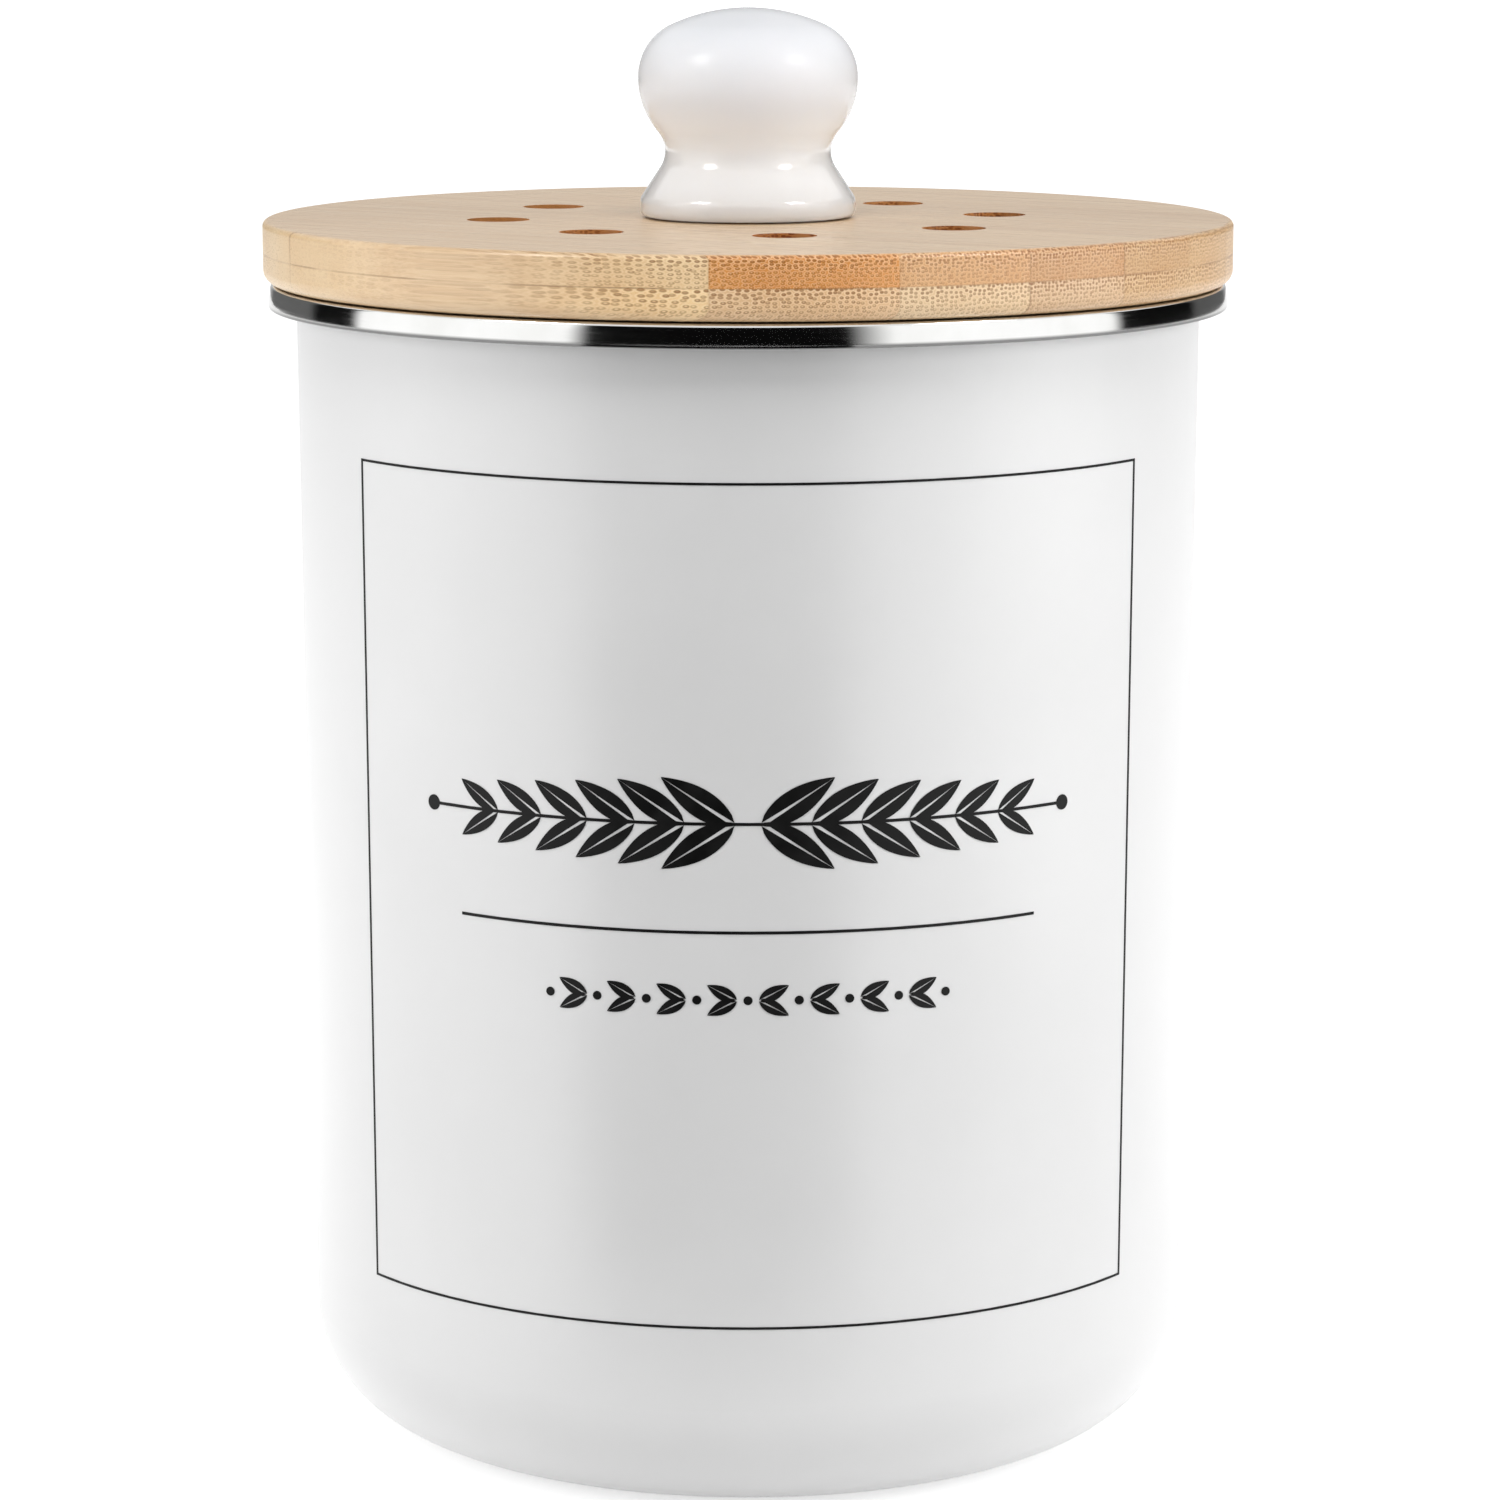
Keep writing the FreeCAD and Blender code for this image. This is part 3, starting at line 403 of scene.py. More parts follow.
def bamboo_finish(name, end_tone, spacing, shift, ply_foot):
    """Bamboo of one strip: its tone at the front end, the spacing of its bundles, and the foot of its ply."""
    material, tree, place = new_finish(name)
    wood = use(tree, BAMBOO, place, Bundle_Spacing=spacing, Shift=shift, Ply_Foot=ply_foot)
    drift = use(tree, DRIFT, place, Patch_Size=14.0 * MM)["Drift"]
    glue = use(tree, GLUE, place, Line_Width=0.22 * MM)["Lines"]
    front = ramp(tree, wood["Along"], -45.0 * MM, 35.0 * MM)
    ends = blend(tree, front, tone(*PALE_BAMBOO), tone(*end_tone))
    ends = blend(tree, calc(tree, "MULTIPLY", drift, 0.35), ends, tone(236, 214, 184), "MULTIPLY")
    streaks = ramp(tree, wood["Streaks"], 0.32, 0.7)
    face = blend(tree, streaks, tone(*FACE_LIGHT), tone(*FACE_DARK))
    body = blend(tree, wood["Ends"], face, ends)
    fibre = ramp(tree, wood["Fibre"], 0.3, 0.7, 0.0, 0.25)
    body = blend(tree, fibre, body, tone(206, 176, 138), "MULTIPLY")
    depth = ramp(tree, wood["Ends"], 0.0, 1.0, 0.24, 0.78)
    body = blend(tree, calc(tree, "MULTIPLY", wood["Bundles"], depth), body, tone(*BUNDLE_DARK))
    pith = calc(tree, "MULTIPLY", calc(tree, "MULTIPLY", wood["Pith"], wood["Ends"]), 0.5)
    body = blend(tree, pith, body, tone(*PITH_LIGHT))
    body = blend(tree, calc(tree, "MULTIPLY", glue, 0.5), body, tone(*GLUE_DARK))
    # Painted shade darkens the walls of the vents
    body = blend(tree, wood["Bore"], body, tone(*VENT_WALL_SHADE), "MULTIPLY")
    pits = calc(tree, "MULTIPLY", wood["Bundles"], wood["Ends"])
    raised = calc(tree, "MULTIPLY", wood["Fibre"], 0.4)
    height = calc(tree, "SUBTRACT", raised, calc(tree, "ADD", pits, glue))
    finish_with(
        tree,
        Base_Color=body,
        Specular_IOR_Level=0.45,
        Roughness=ramp(tree, wood["Fibre"], 0.3, 0.7, 0.26, 0.34),
        Normal=bump(tree, height, 0.015 * MM, 0.5),
    )
    return material


def glaze_finish():
    material, tree, place = new_finish("white_glaze")
    drift = use(tree, DRIFT, place, Patch_Size=20.0 * MM)["Drift"]
    grain = use(tree, GRAIN, place, Grain_Size=4.0 * MM)["Grain"]
    height = split(tree, place)[2]
    glaze = blend(tree, drift, tone(210, 212, 216), tone(213, 214, 218))
    # Painted light makes the waist and the foot whiter than the ball, and the same mask gives them a glossier
    # coat
    lower_light_and_gloss = ramp(tree, height, LID_TOP + LOWER_LIGHT_GLOSS_FULL, LID_TOP + LOWER_LIGHT_GLOSS_END, 1.0, 0.0)
    glaze = blend(tree, lower_light_and_gloss, glaze, tone(245, 246, 247))
    # The foot is left bare of glaze where it stands in the kiln, and its dark brown is painted contact shadow
    # under the flange
    bare = ramp(tree, height, LID_TOP + BARE_FOOT_SHADOW, LID_TOP + BARE_FOOT_SHADOW_END, 1.0, 0.0)
    finish_with(
        tree,
        Base_Color=blend(tree, bare, glaze, tone(110, 84, 64)),
        Subsurface_Weight=1.0,
        Subsurface_Radius=(1.0, 1.0, 0.97),
        Subsurface_Scale=20.0 * MM,
        Specular_IOR_Level=0.2,
        Coat_Weight=lower_light_and_gloss,
        Coat_Roughness=0.08,
        Roughness=ramp(tree, drift, 0.0, 1.0, 0.18, 0.2),
        Normal=bump(tree, grain, 0.03 * MM, 0.3),
    )
    return material


def ink_finish():
    material, tree, place = new_finish("black_ink")
    drift = use(tree, DRIFT, place, Patch_Size=6.0 * MM)["Drift"]
    finish_with(
        tree,
        Base_Color=blend(tree, drift, tone(8, 8, 8), tone(16, 16, 16)),
        Specular_IOR_Level=0.2,
        Roughness=ramp(tree, drift, 0.0, 1.0, 0.38, 0.5),
    )
    return material


def plastic_finish(name, light, dark, roughness, grain_size):
    """Moulded plastic with a finely grained skin."""
    material, tree, place = new_finish(name)
    drift = use(tree, DRIFT, place, Patch_Size=30.0 * MM)["Drift"]
    grain = use(tree, GRAIN, place, Grain_Size=grain_size)["Grain"]
    finish_with(
        tree,
        Base_Color=blend(tree, drift, tone(*light), tone(*dark)),
        Roughness=ramp(tree, grain, 0.3, 0.7, roughness - 0.05, roughness + 0.05),
        Normal=bump(tree, grain, 0.03 * MM, 0.6),
    )
    return material


def foam_finish():
    material, tree, place = new_finish("carbon_foam")
    drift = use(tree, DRIFT, place, Patch_Size=8.0 * MM)["Drift"]
    cells = use(tree, GRAIN, place, Grain_Size=1.1 * MM)["Cells"]
    pores = ramp(tree, cells, 0.15, 0.55)
    body = blend(tree, drift, tone(46, 46, 47), tone(62, 62, 63))
    finish_with(
        tree,
        Base_Color=blend(tree, pores, tone(20, 20, 21), body),
        Roughness=ramp(tree, pores, 0.0, 1.0, 0.95, 0.8),
        Normal=bump(tree, pores, 0.4 * MM, 0.8),
    )
    return material


def metal_finish(name, light, dark, roughness, spacing):
    """Turned or rolled metal with the tool's fine lines."""
    material, tree, place = new_finish(name)
    drift = use(tree, DRIFT, place, Patch_Size=4.0 * MM)["Drift"]
    lines = use(tree, RINGS, place, Line_Spacing=spacing)["Lines"]
    finish_with(
        tree,
        Base_Color=blend(tree, drift, tone(*light), tone(*dark)),
        Metallic=1.0,
        Roughness=ramp(tree, lines, 0.3, 0.7, roughness - 0.06, roughness + 0.06),
        Normal=bump(tree, lines, 0.01 * MM, 0.6),
    )
    return material


def dress(material, *nodes):
    for node in nodes:
        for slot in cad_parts[node].material_slots:
            slot.material = material


PALE_BAMBOO = (230, 206, 168)
FACE_LIGHT = (229, 202, 165)
FACE_DARK = (215, 183, 144)
BUNDLE_DARK = (128, 74, 28)
PITH_LIGHT = (255, 232, 196)
GLUE_DARK = (128, 82, 42)
VENT_WALL_SHADE = (226, 180, 134)

# For each ply its foot, the spacing of the bundles in the first strip and in the others, and the tones of the
# strips at their front ends, from left to right
PLIES = {
    "top": (GLUE_HEIGHT, 0.66 * MM, 0.62 * MM, (
        (238, 208, 162), (221, 153, 83), (217, 168, 118), (204, 156, 108), (204, 165, 120),
        (212, 176, 130), (220, 186, 142), (222, 186, 144), (224, 190, 148),
    )),
    "bottom": (LID_UNDERSIDE, 0.78 * MM, 0.70 * MM, (
        (250, 219, 169), (229, 193, 150), (230, 203, 164), (214, 181, 143), (208, 172, 127),
        (212, 176, 129), (222, 188, 146), (222, 186, 144), (224, 190, 148),
    )),
}

dress(enamel_finish(), "pail_shell")
for ply, (ply_foot, first_spacing, spacing, end_tones) in PLIES.items():
    for number, end_tone in enumerate(end_tones, start=1):
        strip = f"{ply}_strip_{number}"
        apart = first_spacing if number == 1 else spacing
        dress(bamboo_finish(f"bamboo_{strip}", end_tone, apart, 17.0 * number, ply_foot), strip)
dress(bamboo_finish("bamboo_plug", (224, 190, 148), 0.9 * MM, 5.0, LID_UNDERSIDE - 10.0 * MM), "lid_plug")
dress(plastic_finish("bucket_plastic", (179, 181, 179), (182, 184, 182), 0.42, 0.9 * MM), "inner_bucket")
dress(plastic_finish("clip_plastic", (226, 226, 222), (232, 232, 229), 0.38, 0.7 * MM),
      "filter_clip_1", "filter_clip_2", "filter_clip_3")
dress(plastic_finish("seal_silicone", (222, 222, 218), (230, 230, 227), 0.5, 1.2 * MM), "lid_seal")
dress(foam_finish(), "charcoal_filter")
dress(metal_finish("zinc_steel", (196, 198, 200), (208, 210, 210), 0.28, 0.2 * MM),
      "clip_screws", "knob_screw", "knob_washer")
dress(metal_finish("turned_brass", (214, 178, 104), (222, 188, 116), 0.25, 0.2 * MM), "knob_insert")
INK = ink_finish()


# Rim hoop and knob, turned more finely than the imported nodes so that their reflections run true

HOOP_HEAD_GAP = 0.25 * MM
HOOP_SHEET = 0.5 * MM
HOOP_TOP_SHEET = 0.22 * MM
HOOP_SHOULDER = 0.7 * MM
HOOP_ROLL = 0.3 * MM
HOOP_LEAN_LOWER = 1.0
HOOP_LEAN_UPPER = 9.0
HOOP_MOUTH = 80.5 * MM
HOOP_LOWER_EDGE = 79.6 * MM
# How far the hoop's inner face lies behind its sheet at the foot, the shoulder and the head
HOOP_FOOT_BACK = 0.2 * MM
HOOP_SHOULDER_BACK = 0.3 * MM
HOOP_HEAD_BACK = 0.6 * MM

KNOB_SEAT = 0.01 * MM
KNOB_SOCKET_RADIUS = 6.0 * MM
KNOB_SOCKET_DEPTH = 20.0 * MM
BARE_RING_RADIUS = 17.5 * MM
BARE_RING_HEIGHT = 0.25 * MM
KNOB_FOOT_RADIUS = 18.93 * MM
KNOB_FOOT_CURVE = 1.1 * MM
KNOB_FLANGE_CURVE = 2.6 * MM
KNOB_FLANGE_HEIGHT = 2.6 * MM
KNOB_WAIST_RADIUS = 14.55 * MM
KNOB_WAIST_CURVE = 5.1 * MM
KNOB_BALL_RADIUS = 19.25 * MM
KNOB_BALL_HEIGHT = 24.45 * MM
KNOB_UNDER_CURVE = 14.85 * MM
KNOB_SHOULDER_CURVE = 10.05 * MM
KNOB_HEIGHT = 36.49 * MM


def arc(centre, radius, first, last, steps):
    """Points on a circle, in radius and height, from one angle to another in degrees."""
    points = []
    for step in range(steps + 1):
        angle = math.radians(first + (last - first) * step / steps)
        points.append((centre[0] + radius * math.cos(angle), centre[1] + radius * math.sin(angle)))
    return points


def turned_piece(name, outline, material, segments=288):
    """A closed outline of (radius, height) points turned round the upright axis."""
    shape = bmesh.new()
    rings = []
    for segment in range(segments):
        turn = 2 * math.pi * segment / segments
        aside, away = math.cos(turn), math.sin(turn)
        rings.append([shape.verts.new((radius * aside, radius * away, height)) for radius, height in outline])
    for segment in range(segments):
        here, there = rings[segment], rings[(segment + 1) % segments]
        for near in range(len(outline)):
            far = (near + 1) % len(outline)
            if outline[near][0] > 0.0 or outline[far][0] > 0.0:
                shape.faces.new((here[near], there[near], there[far], here[far]))
    bmesh.ops.remove_doubles(shape, verts=shape.verts, dist=0.001 * MM)
    bmesh.ops.recalc_face_normals(shape, faces=shape.faces)
    mesh = bpy.data.meshes.new(name)
    shape.to_mesh(mesh)
    shape.free()
    mesh.shade_smooth()
    mesh.set_sharp_from_angle(angle=math.radians(32.0))
    mesh.materials.append(material)
    piece = bpy.data.objects.new(name, mesh)
    scene.collection.objects.link(piece)
    return piece


def make_hoop():
    """Stainless channel over the pail's lip: a bulged band that leans in, with a rolled lower edge."""
    low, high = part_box("rim_hoop")
    outside, foot = high[0], low[2]
    head = high[2] - HOOP_HEAD_GAP
    inside = outside - HOOP_SHEET
    ceiling = head - HOOP_TOP_SHEET
    floor = foot + HOOP_SHEET
    lower, upper = math.radians(HOOP_LEAN_LOWER), math.radians(HOOP_LEAN_UPPER)
    roll = (outside - HOOP_ROLL, foot + HOOP_ROLL)
    start = (roll[0] + HOOP_ROLL * math.cos(lower), roll[1] + HOOP_ROLL * math.sin(lower))
    rise = head - start[1] - HOOP_SHOULDER * (1.0 - math.sin(upper))
    bulge = rise / (math.sin(upper) - math.sin(lower))
    band = (start[0] - bulge * math.cos(lower), start[1] - bulge * math.sin(lower))
    reach = bulge - HOOP_SHOULDER
    shoulder = (band[0] + reach * math.cos(upper), band[1] + reach * math.sin(upper))
    outline = (
        [(HOOP_MOUTH, head)]
        + arc(shoulder, HOOP_SHOULDER, 90.0, HOOP_LEAN_UPPER, 8)
        + arc(band, bulge, HOOP_LEAN_UPPER, HOOP_LEAN_LOWER, 6)[1:]
        + arc(roll, HOOP_ROLL, HOOP_LEAN_LOWER, -90.0, 12)[1:]
        + [(HOOP_LOWER_EDGE, foot), (HOOP_LOWER_EDGE, floor), (roll[0], floor)]
        + [(inside - HOOP_FOOT_BACK, floor + HOOP_ROLL), (inside - HOOP_SHOULDER_BACK, head - HOOP_SHOULDER)]
        + [(inside - HOOP_HEAD_BACK, ceiling), (HOOP_MOUTH, ceiling)]
    )
    hoop = turned_piece("polished_hoop", outline, stainless_finish())
    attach(hoop, "pail")
    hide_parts("rim_hoop")


def make_knob():
    """Glazed knob: full foot on a thin bare ring, waist, and flattened ball, in heights above the lid."""
    def tangent(first, second, reach):
        """Angle on the first circle, in degrees, at which the straight flank to the second leaves it."""
        across, up = second[0] - first[0], second[1] - first[1]
        return math.degrees(math.atan2(up, across) - math.acos(reach / math.hypot(across, up)))

    def turn_to(first, second):
        return math.degrees(math.atan2(second[1] - first[1], second[0] - first[0]))

    foot = (KNOB_FOOT_RADIUS - KNOB_FOOT_CURVE, BARE_RING_HEIGHT + KNOB_FOOT_CURVE)
    flange = (KNOB_FOOT_RADIUS - KNOB_FLANGE_CURVE, KNOB_FLANGE_HEIGHT)
    under = (KNOB_BALL_RADIUS - KNOB_UNDER_CURVE, KNOB_BALL_HEIGHT)
    # The waist's circle touches the one under the ball, and the crown's touches the shoulder's
    waist_middle = KNOB_WAIST_RADIUS + KNOB_WAIST_CURVE
    waist_drop = math.sqrt((KNOB_UNDER_CURVE + KNOB_WAIST_CURVE) ** 2 - (waist_middle - under[0]) ** 2)
    waist = (waist_middle, KNOB_BALL_HEIGHT - waist_drop)
    shoulder = (KNOB_BALL_RADIUS - KNOB_SHOULDER_CURVE, KNOB_BALL_HEIGHT)
    spare = KNOB_HEIGHT - KNOB_BALL_HEIGHT - KNOB_SHOULDER_CURVE
    crown = (0.0, KNOB_BALL_HEIGHT - (shoulder[0] ** 2 - spare ** 2) / (2.0 * spare))
    leave_flange = tangent(flange, waist, KNOB_FLANGE_CURVE + KNOB_WAIST_CURVE)
    leave_waist = turn_to(waist, under)
    leave_shoulder = turn_to(crown, shoulder)
    half = (
        [(0.0, KNOB_SOCKET_DEPTH), (KNOB_SOCKET_RADIUS, KNOB_SOCKET_DEPTH), (KNOB_SOCKET_RADIUS, KNOB_SEAT)]
        + [(BARE_RING_RADIUS, KNOB_SEAT), (BARE_RING_RADIUS, BARE_RING_HEIGHT)]
        + arc(foot, KNOB_FOOT_CURVE, -90.0, 0.0, 10)
        + arc(flange, KNOB_FLANGE_CURVE, 0.0, leave_flange, 8)
        + arc(waist, KNOB_WAIST_CURVE, 180.0 + leave_flange, leave_waist, 16)
        + arc(under, KNOB_UNDER_CURVE, leave_waist - 180.0, 0.0, 16)[1:]
        + arc(shoulder, KNOB_SHOULDER_CURVE, 0.0, leave_shoulder, 18)[1:]
        + arc(crown, KNOB_HEIGHT - crown[1], leave_shoulder, 90.0, 10)[1:-1]
        + [(0.0, KNOB_HEIGHT)]
    )
    outline = [(radius, LID_TOP + height) for radius, height in half]
    knob = turned_piece("glazed_knob", outline, glaze_finish(), segments=144)
    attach(knob, "lid")
    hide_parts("knob")


make_hoop()
make_knob()


# Printed panel: flat shapes drawn in x along the wall and z up it, then wrapped round the pail

INK_PROUD = 0.06 * MM
INK_SUNK = 0.05 * MM
PANEL_REACH = math.radians(55.2) * WALL_BASE_RADIUS
PANEL_FOOT = 35.2 * MM
PANEL_HEAD = 177.0 * MM
PANEL_LINE = 0.42 * MM
RULE_REACH = math.radians(37.5) * WALL_BASE_RADIUS
RULE_HEIGHT = 102.7 * MM
RULE_LINE = 0.5 * MM
SPRIG_HEIGHT = 120.9 * MM
SEEDS_HEIGHT = 91.3 * MM
STEP = 1.5 * MM
THINNEST = 0.02 * MM
LEAF_STEPS = 14
DOT_STEPS = 16
SPRIG_REACH = 57.0 * MM
SPRIG_STEM = 0.26 * MM
SPRIG_DOT = 1.3 * MM
SEED_SPACING = 8.4 * MM
SEED_DOT = 0.75 * MM


def make_print_tree():
    """Sets leaves in pairs along a row, adds what is drawn already, and wraps it round the pail's wall."""
    group, given, sink = new_group(
        "print_on_pail", "GeometryNodeTree",
        (
            ("Geometry", "NodeSocketGeometry", None),
            ("Leaf", "NodeSocketObject", None),
            ("Leaf Pairs", "NodeSocketInt", 0),
            ("First Pair", "NodeSocketFloat", 0.0),
            ("Pair Spacing", "NodeSocketFloat", 0.0),
            ("Row Height", "NodeSocketFloat", 0.0),
            ("Lean", "NodeSocketFloat", 0.0),
            ("End Size", "NodeSocketFloat", 1.0),
            ("Base Radius", "NodeSocketFloat", WALL_BASE_RADIUS),
            ("Wall Slope", "NodeSocketFloat", WALL_SLOPE),
            ("Ink", "NodeSocketMaterial", None),
        ),
        (("Geometry", "NodeSocketGeometry"),),
    )
    # Four leaves make a pair on each side of the middle
    index = add_node(group, "GeometryNodeInputIndex").outputs[0]
    odd = calc(group, "MODULO", index, 2.0)
    side = calc(group, "SUBTRACT", 1.0, calc(group, "MULTIPLY", odd, 2.0))
    lower = calc(group, "MODULO", calc(group, "FLOOR", calc(group, "DIVIDE", index, 2.0)), 2.0)
    upward = calc(group, "SUBTRACT", 1.0, calc(group, "MULTIPLY", lower, 2.0))
    pair = calc(group, "FLOOR", calc(group, "DIVIDE", index, 4.0))
    out = calc(group, "MULTIPLY_ADD", pair, given["Pair Spacing"], given["First Pair"])
    start = combine(group, calc(group, "MULTIPLY", out, side), 0.0, given["Row Height"])
    count = calc(group, "MULTIPLY", given["Leaf Pairs"], 4.0)
    points = add_node(group, "GeometryNodePoints", {"Count": count, "Position": start}).outputs[0]
    lean = calc(group, "MULTIPLY", calc(group, "MULTIPLY", side, upward), given["Lean"])
    facing = calc(group, "MULTIPLY_ADD", odd, math.pi, lean)
    last = calc(group, "MAXIMUM", calc(group, "SUBTRACT", given["Leaf Pairs"], 1.0), 1.0)
    smaller = calc(group, "SUBTRACT", given["End Size"], 1.0)
    size = calc(group, "MULTIPLY_ADD", calc(group, "DIVIDE", pair, last), smaller, 1.0)
    leaf = add_node(group, "GeometryNodeObjectInfo", {"Object": given["Leaf"]}).outputs["Geometry"]
    leaves = add_node(group, "GeometryNodeInstanceOnPoints", {
        "Points": points,
        "Instance": leaf,
        "Rotation": combine(group, 0.0, calc(group, "MULTIPLY", facing, -1.0), 0.0),
        "Scale": combine(group, size, 1.0, size),
    }).outputs[0]
    row = add_node(group, "GeometryNodeRealizeInstances", {"Geometry": leaves}).outputs[0]
    joined = add_node(group, "GeometryNodeJoinGeometry")
    for feed in (given["Geometry"], row):
        group.links.new(feed, joined.inputs[0])

    x, y, z = split(group, add_node(group, "GeometryNodeInputPosition").outputs[0])
    wall = calc(group, "MULTIPLY_ADD", z, given["Wall Slope"], given["Base Radius"])
    radius = calc(group, "SUBTRACT", wall, y)
    turn = calc(group, "DIVIDE", x, given["Base Radius"])
    wrapped = combine(
        group,
        calc(group, "MULTIPLY", radius, calc(group, "SINE", turn)),
        calc(group, "MULTIPLY", calc(group, "MULTIPLY", radius, calc(group, "COSINE", turn)), -1.0),
        z,
    )
    moved = add_node(group, "GeometryNodeSetPosition", {"Geometry": joined.outputs[0], "Position": wrapped})
    coat = {"Geometry": moved.outputs[0], "Material": given["Ink"]}
    inked = add_node(group, "GeometryNodeSetMaterial", coat)
    put_out(group, sink, Geometry=inked.outputs[0])
    return group


def flat_print(rows):
    """Ink shapes as one mesh. Each row is a run of (x, low, high) columns, joined into one strip."""
    shape = bmesh.new()
    for columns in rows:
        rings = []
        for x, low, high in columns:
            corners = ((-INK_PROUD, low), (-INK_PROUD, high), (INK_SUNK, high), (INK_SUNK, low))
            rings.append([shape.verts.new((x, y, z)) for y, z in corners])
        for here, there in zip(rings, rings[1:]):
            for near in range(4):
                far = (near + 1) % 4
                shape.faces.new((here[near], there[near], there[far], here[far]))
        shape.faces.new(rings[0])
        shape.faces.new(reversed(rings[-1]))
    bmesh.ops.remove_doubles(shape, verts=shape.verts, dist=1e-7)
    bmesh.ops.recalc_face_normals(shape, faces=shape.faces)
    mesh = bpy.data.meshes.new("flat_print")
    shape.to_mesh(mesh)
    shape.free()
    return mesh


def bar(left, right, low, high, step=STEP):
    """Columns of an upright rectangle, close enough together to follow the wall."""
    count = max(1, round((right - left) / step))
    return [(left + (right - left) * index / count, low, high) for index in range(count + 1)]


def leaf_rows(length, width, rib):
    """The two halves of a leaf that points along x, parted by a bare midrib."""
    halves = []
    for way in (1.0, -1.0):
        columns = []
        for index in range(LEAF_STEPS + 1):
            share = index / LEAF_STEPS
            swell = math.sin(math.pi * share ** 0.82) ** 0.85 if 0 < share < 1 else 0.0
            gap = rib * (1.0 - share) + THINNEST
            edge = gap + max(swell * (width / 2 - gap), THINNEST)
            columns.append((length * share, *sorted((way * gap, way * edge))))
        halves.append(columns)
    return halves


def disc_rows(x, height, radius):
    """Columns of a round dot."""
    columns = []
    for index in range(DOT_STEPS + 1):
        turn = math.pi * index / DOT_STEPS
        half = max(radius * math.sin(turn), THINNEST)
        columns.append((x - radius * math.cos(turn), height - half, height + half))
    return [columns]


PRINT = make_print_tree()


def set_input(modifier, label, setting):
    identifier = next(
        item.identifier for item in modifier.node_group.interface.items_tree
        if item.name == label and item.in_out == "INPUT"
    )
    modifier[identifier] = setting


def print_piece(name, rows, leaf=None, **inputs):
    """Run the printing tree on drawn rows, and keep the result as a plain mesh that rides on the pail."""
    draft = bpy.data.objects.new(f"{name}_draft", flat_print(rows))
    scene.collection.objects.link(draft)
    modifier = draft.modifiers.new("print", "NODES")
    modifier.node_group = PRINT
    set_input(modifier, "Ink", INK)
    set_input(modifier, "Leaf", leaf)
    for label, setting in inputs.items():
        set_input(modifier, label.replace("_", " "), setting)
    bpy.context.view_layer.update()
    evaluated = draft.evaluated_get(bpy.context.evaluated_depsgraph_get())
    mesh = bpy.data.meshes.new_from_object(evaluated)
    mesh.name = name
    bpy.data.objects.remove(draft)
    piece = bpy.data.objects.new(name, mesh)
    scene.collection.objects.link(piece)
    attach(piece, "pail")
    return piece


def leaf_pattern(name, length, width, rib):
    pattern = bpy.data.objects.new(name, flat_print(leaf_rows(length, width, rib)))
    scene.collection.objects.link(pattern)
    return pattern


def print_panel():
    half = PANEL_LINE / 2
    head = bar(-PANEL_REACH - half, PANEL_REACH + half, PANEL_HEAD - half, PANEL_HEAD + half)
    foot = bar(-PANEL_REACH - half, PANEL_REACH + half, PANEL_FOOT - half, PANEL_FOOT + half)
    posts = [
        bar(x - half, x + half, PANEL_FOOT + half, PANEL_HEAD - half, PANEL_LINE)
        for x in (-PANEL_REACH, PANEL_REACH)
    ]
    print_piece("panel_border", [head, foot] + posts)
    rule = bar(-RULE_REACH, RULE_REACH, RULE_HEIGHT - RULE_LINE / 2, RULE_HEIGHT + RULE_LINE / 2)
    print_piece("panel_rule", [rule])

    sprig_leaf = leaf_pattern("sprig_leaf", length=14.0 * MM, width=4.8 * MM, rib=0.32 * MM)
    rows = [bar(-SPRIG_REACH, SPRIG_REACH, SPRIG_HEIGHT - SPRIG_STEM, SPRIG_HEIGHT + SPRIG_STEM)]
    for x in (-SPRIG_REACH, SPRIG_REACH):
        rows += disc_rows(x, SPRIG_HEIGHT, SPRIG_DOT)
    print_piece(
        "panel_sprig", rows, sprig_leaf,
        Leaf_Pairs=6, First_Pair=2.4 * MM, Pair_Spacing=8.2 * MM,
        Row_Height=SPRIG_HEIGHT, Lean=math.radians(33.0), End_Size=0.62,
    )

    seed_leaf = leaf_pattern("seed_leaf", length=5.4 * MM, width=2.3 * MM, rib=0.14 * MM)
    pairs = 4
    rows = []
    for number in range(-pairs, pairs + 1):
        rows += disc_rows(number * SEED_SPACING, SEEDS_HEIGHT, SEED_DOT)
    print_piece(
        "panel_seeds", rows, seed_leaf,
        Leaf_Pairs=pairs, First_Pair=1.9 * MM, Pair_Spacing=SEED_SPACING,
        Row_Height=SEEDS_HEIGHT, Lean=math.radians(28.0), End_Size=1.0,
    )
    for pattern in (sprig_leaf, seed_leaf):
        bpy.data.objects.remove(pattern)


print_panel()


# Studio

WHITE = (1.0, 1.0, 1.0, 1.0)
WORLD_FILL = 0.34
FLOOR_REACH = 12.0
FLOOR_TONE = (0.8, 0.8, 0.8, 1.0)
# The floor's own glow, as it is seen and as it is mirrored, and the distances over which it grows
FLOOR_LIFT_RANGE = (0.15, 2.2)
FLOOR_LIFT_NEAR = 0.62
FLOOR_LIFT_FAR = 0.92
FLOOR_MIRROR_RANGE = (0.12, 0.9)
FLOOR_MIRROR_NEAR = 0.55
FLOOR_MIRROR_FAR = 0.70
MIRROR_REACH = 3.0
MIRROR_HEIGHT = 1.4
MIRROR_PANELS = 72
MIRROR_BACK = 184
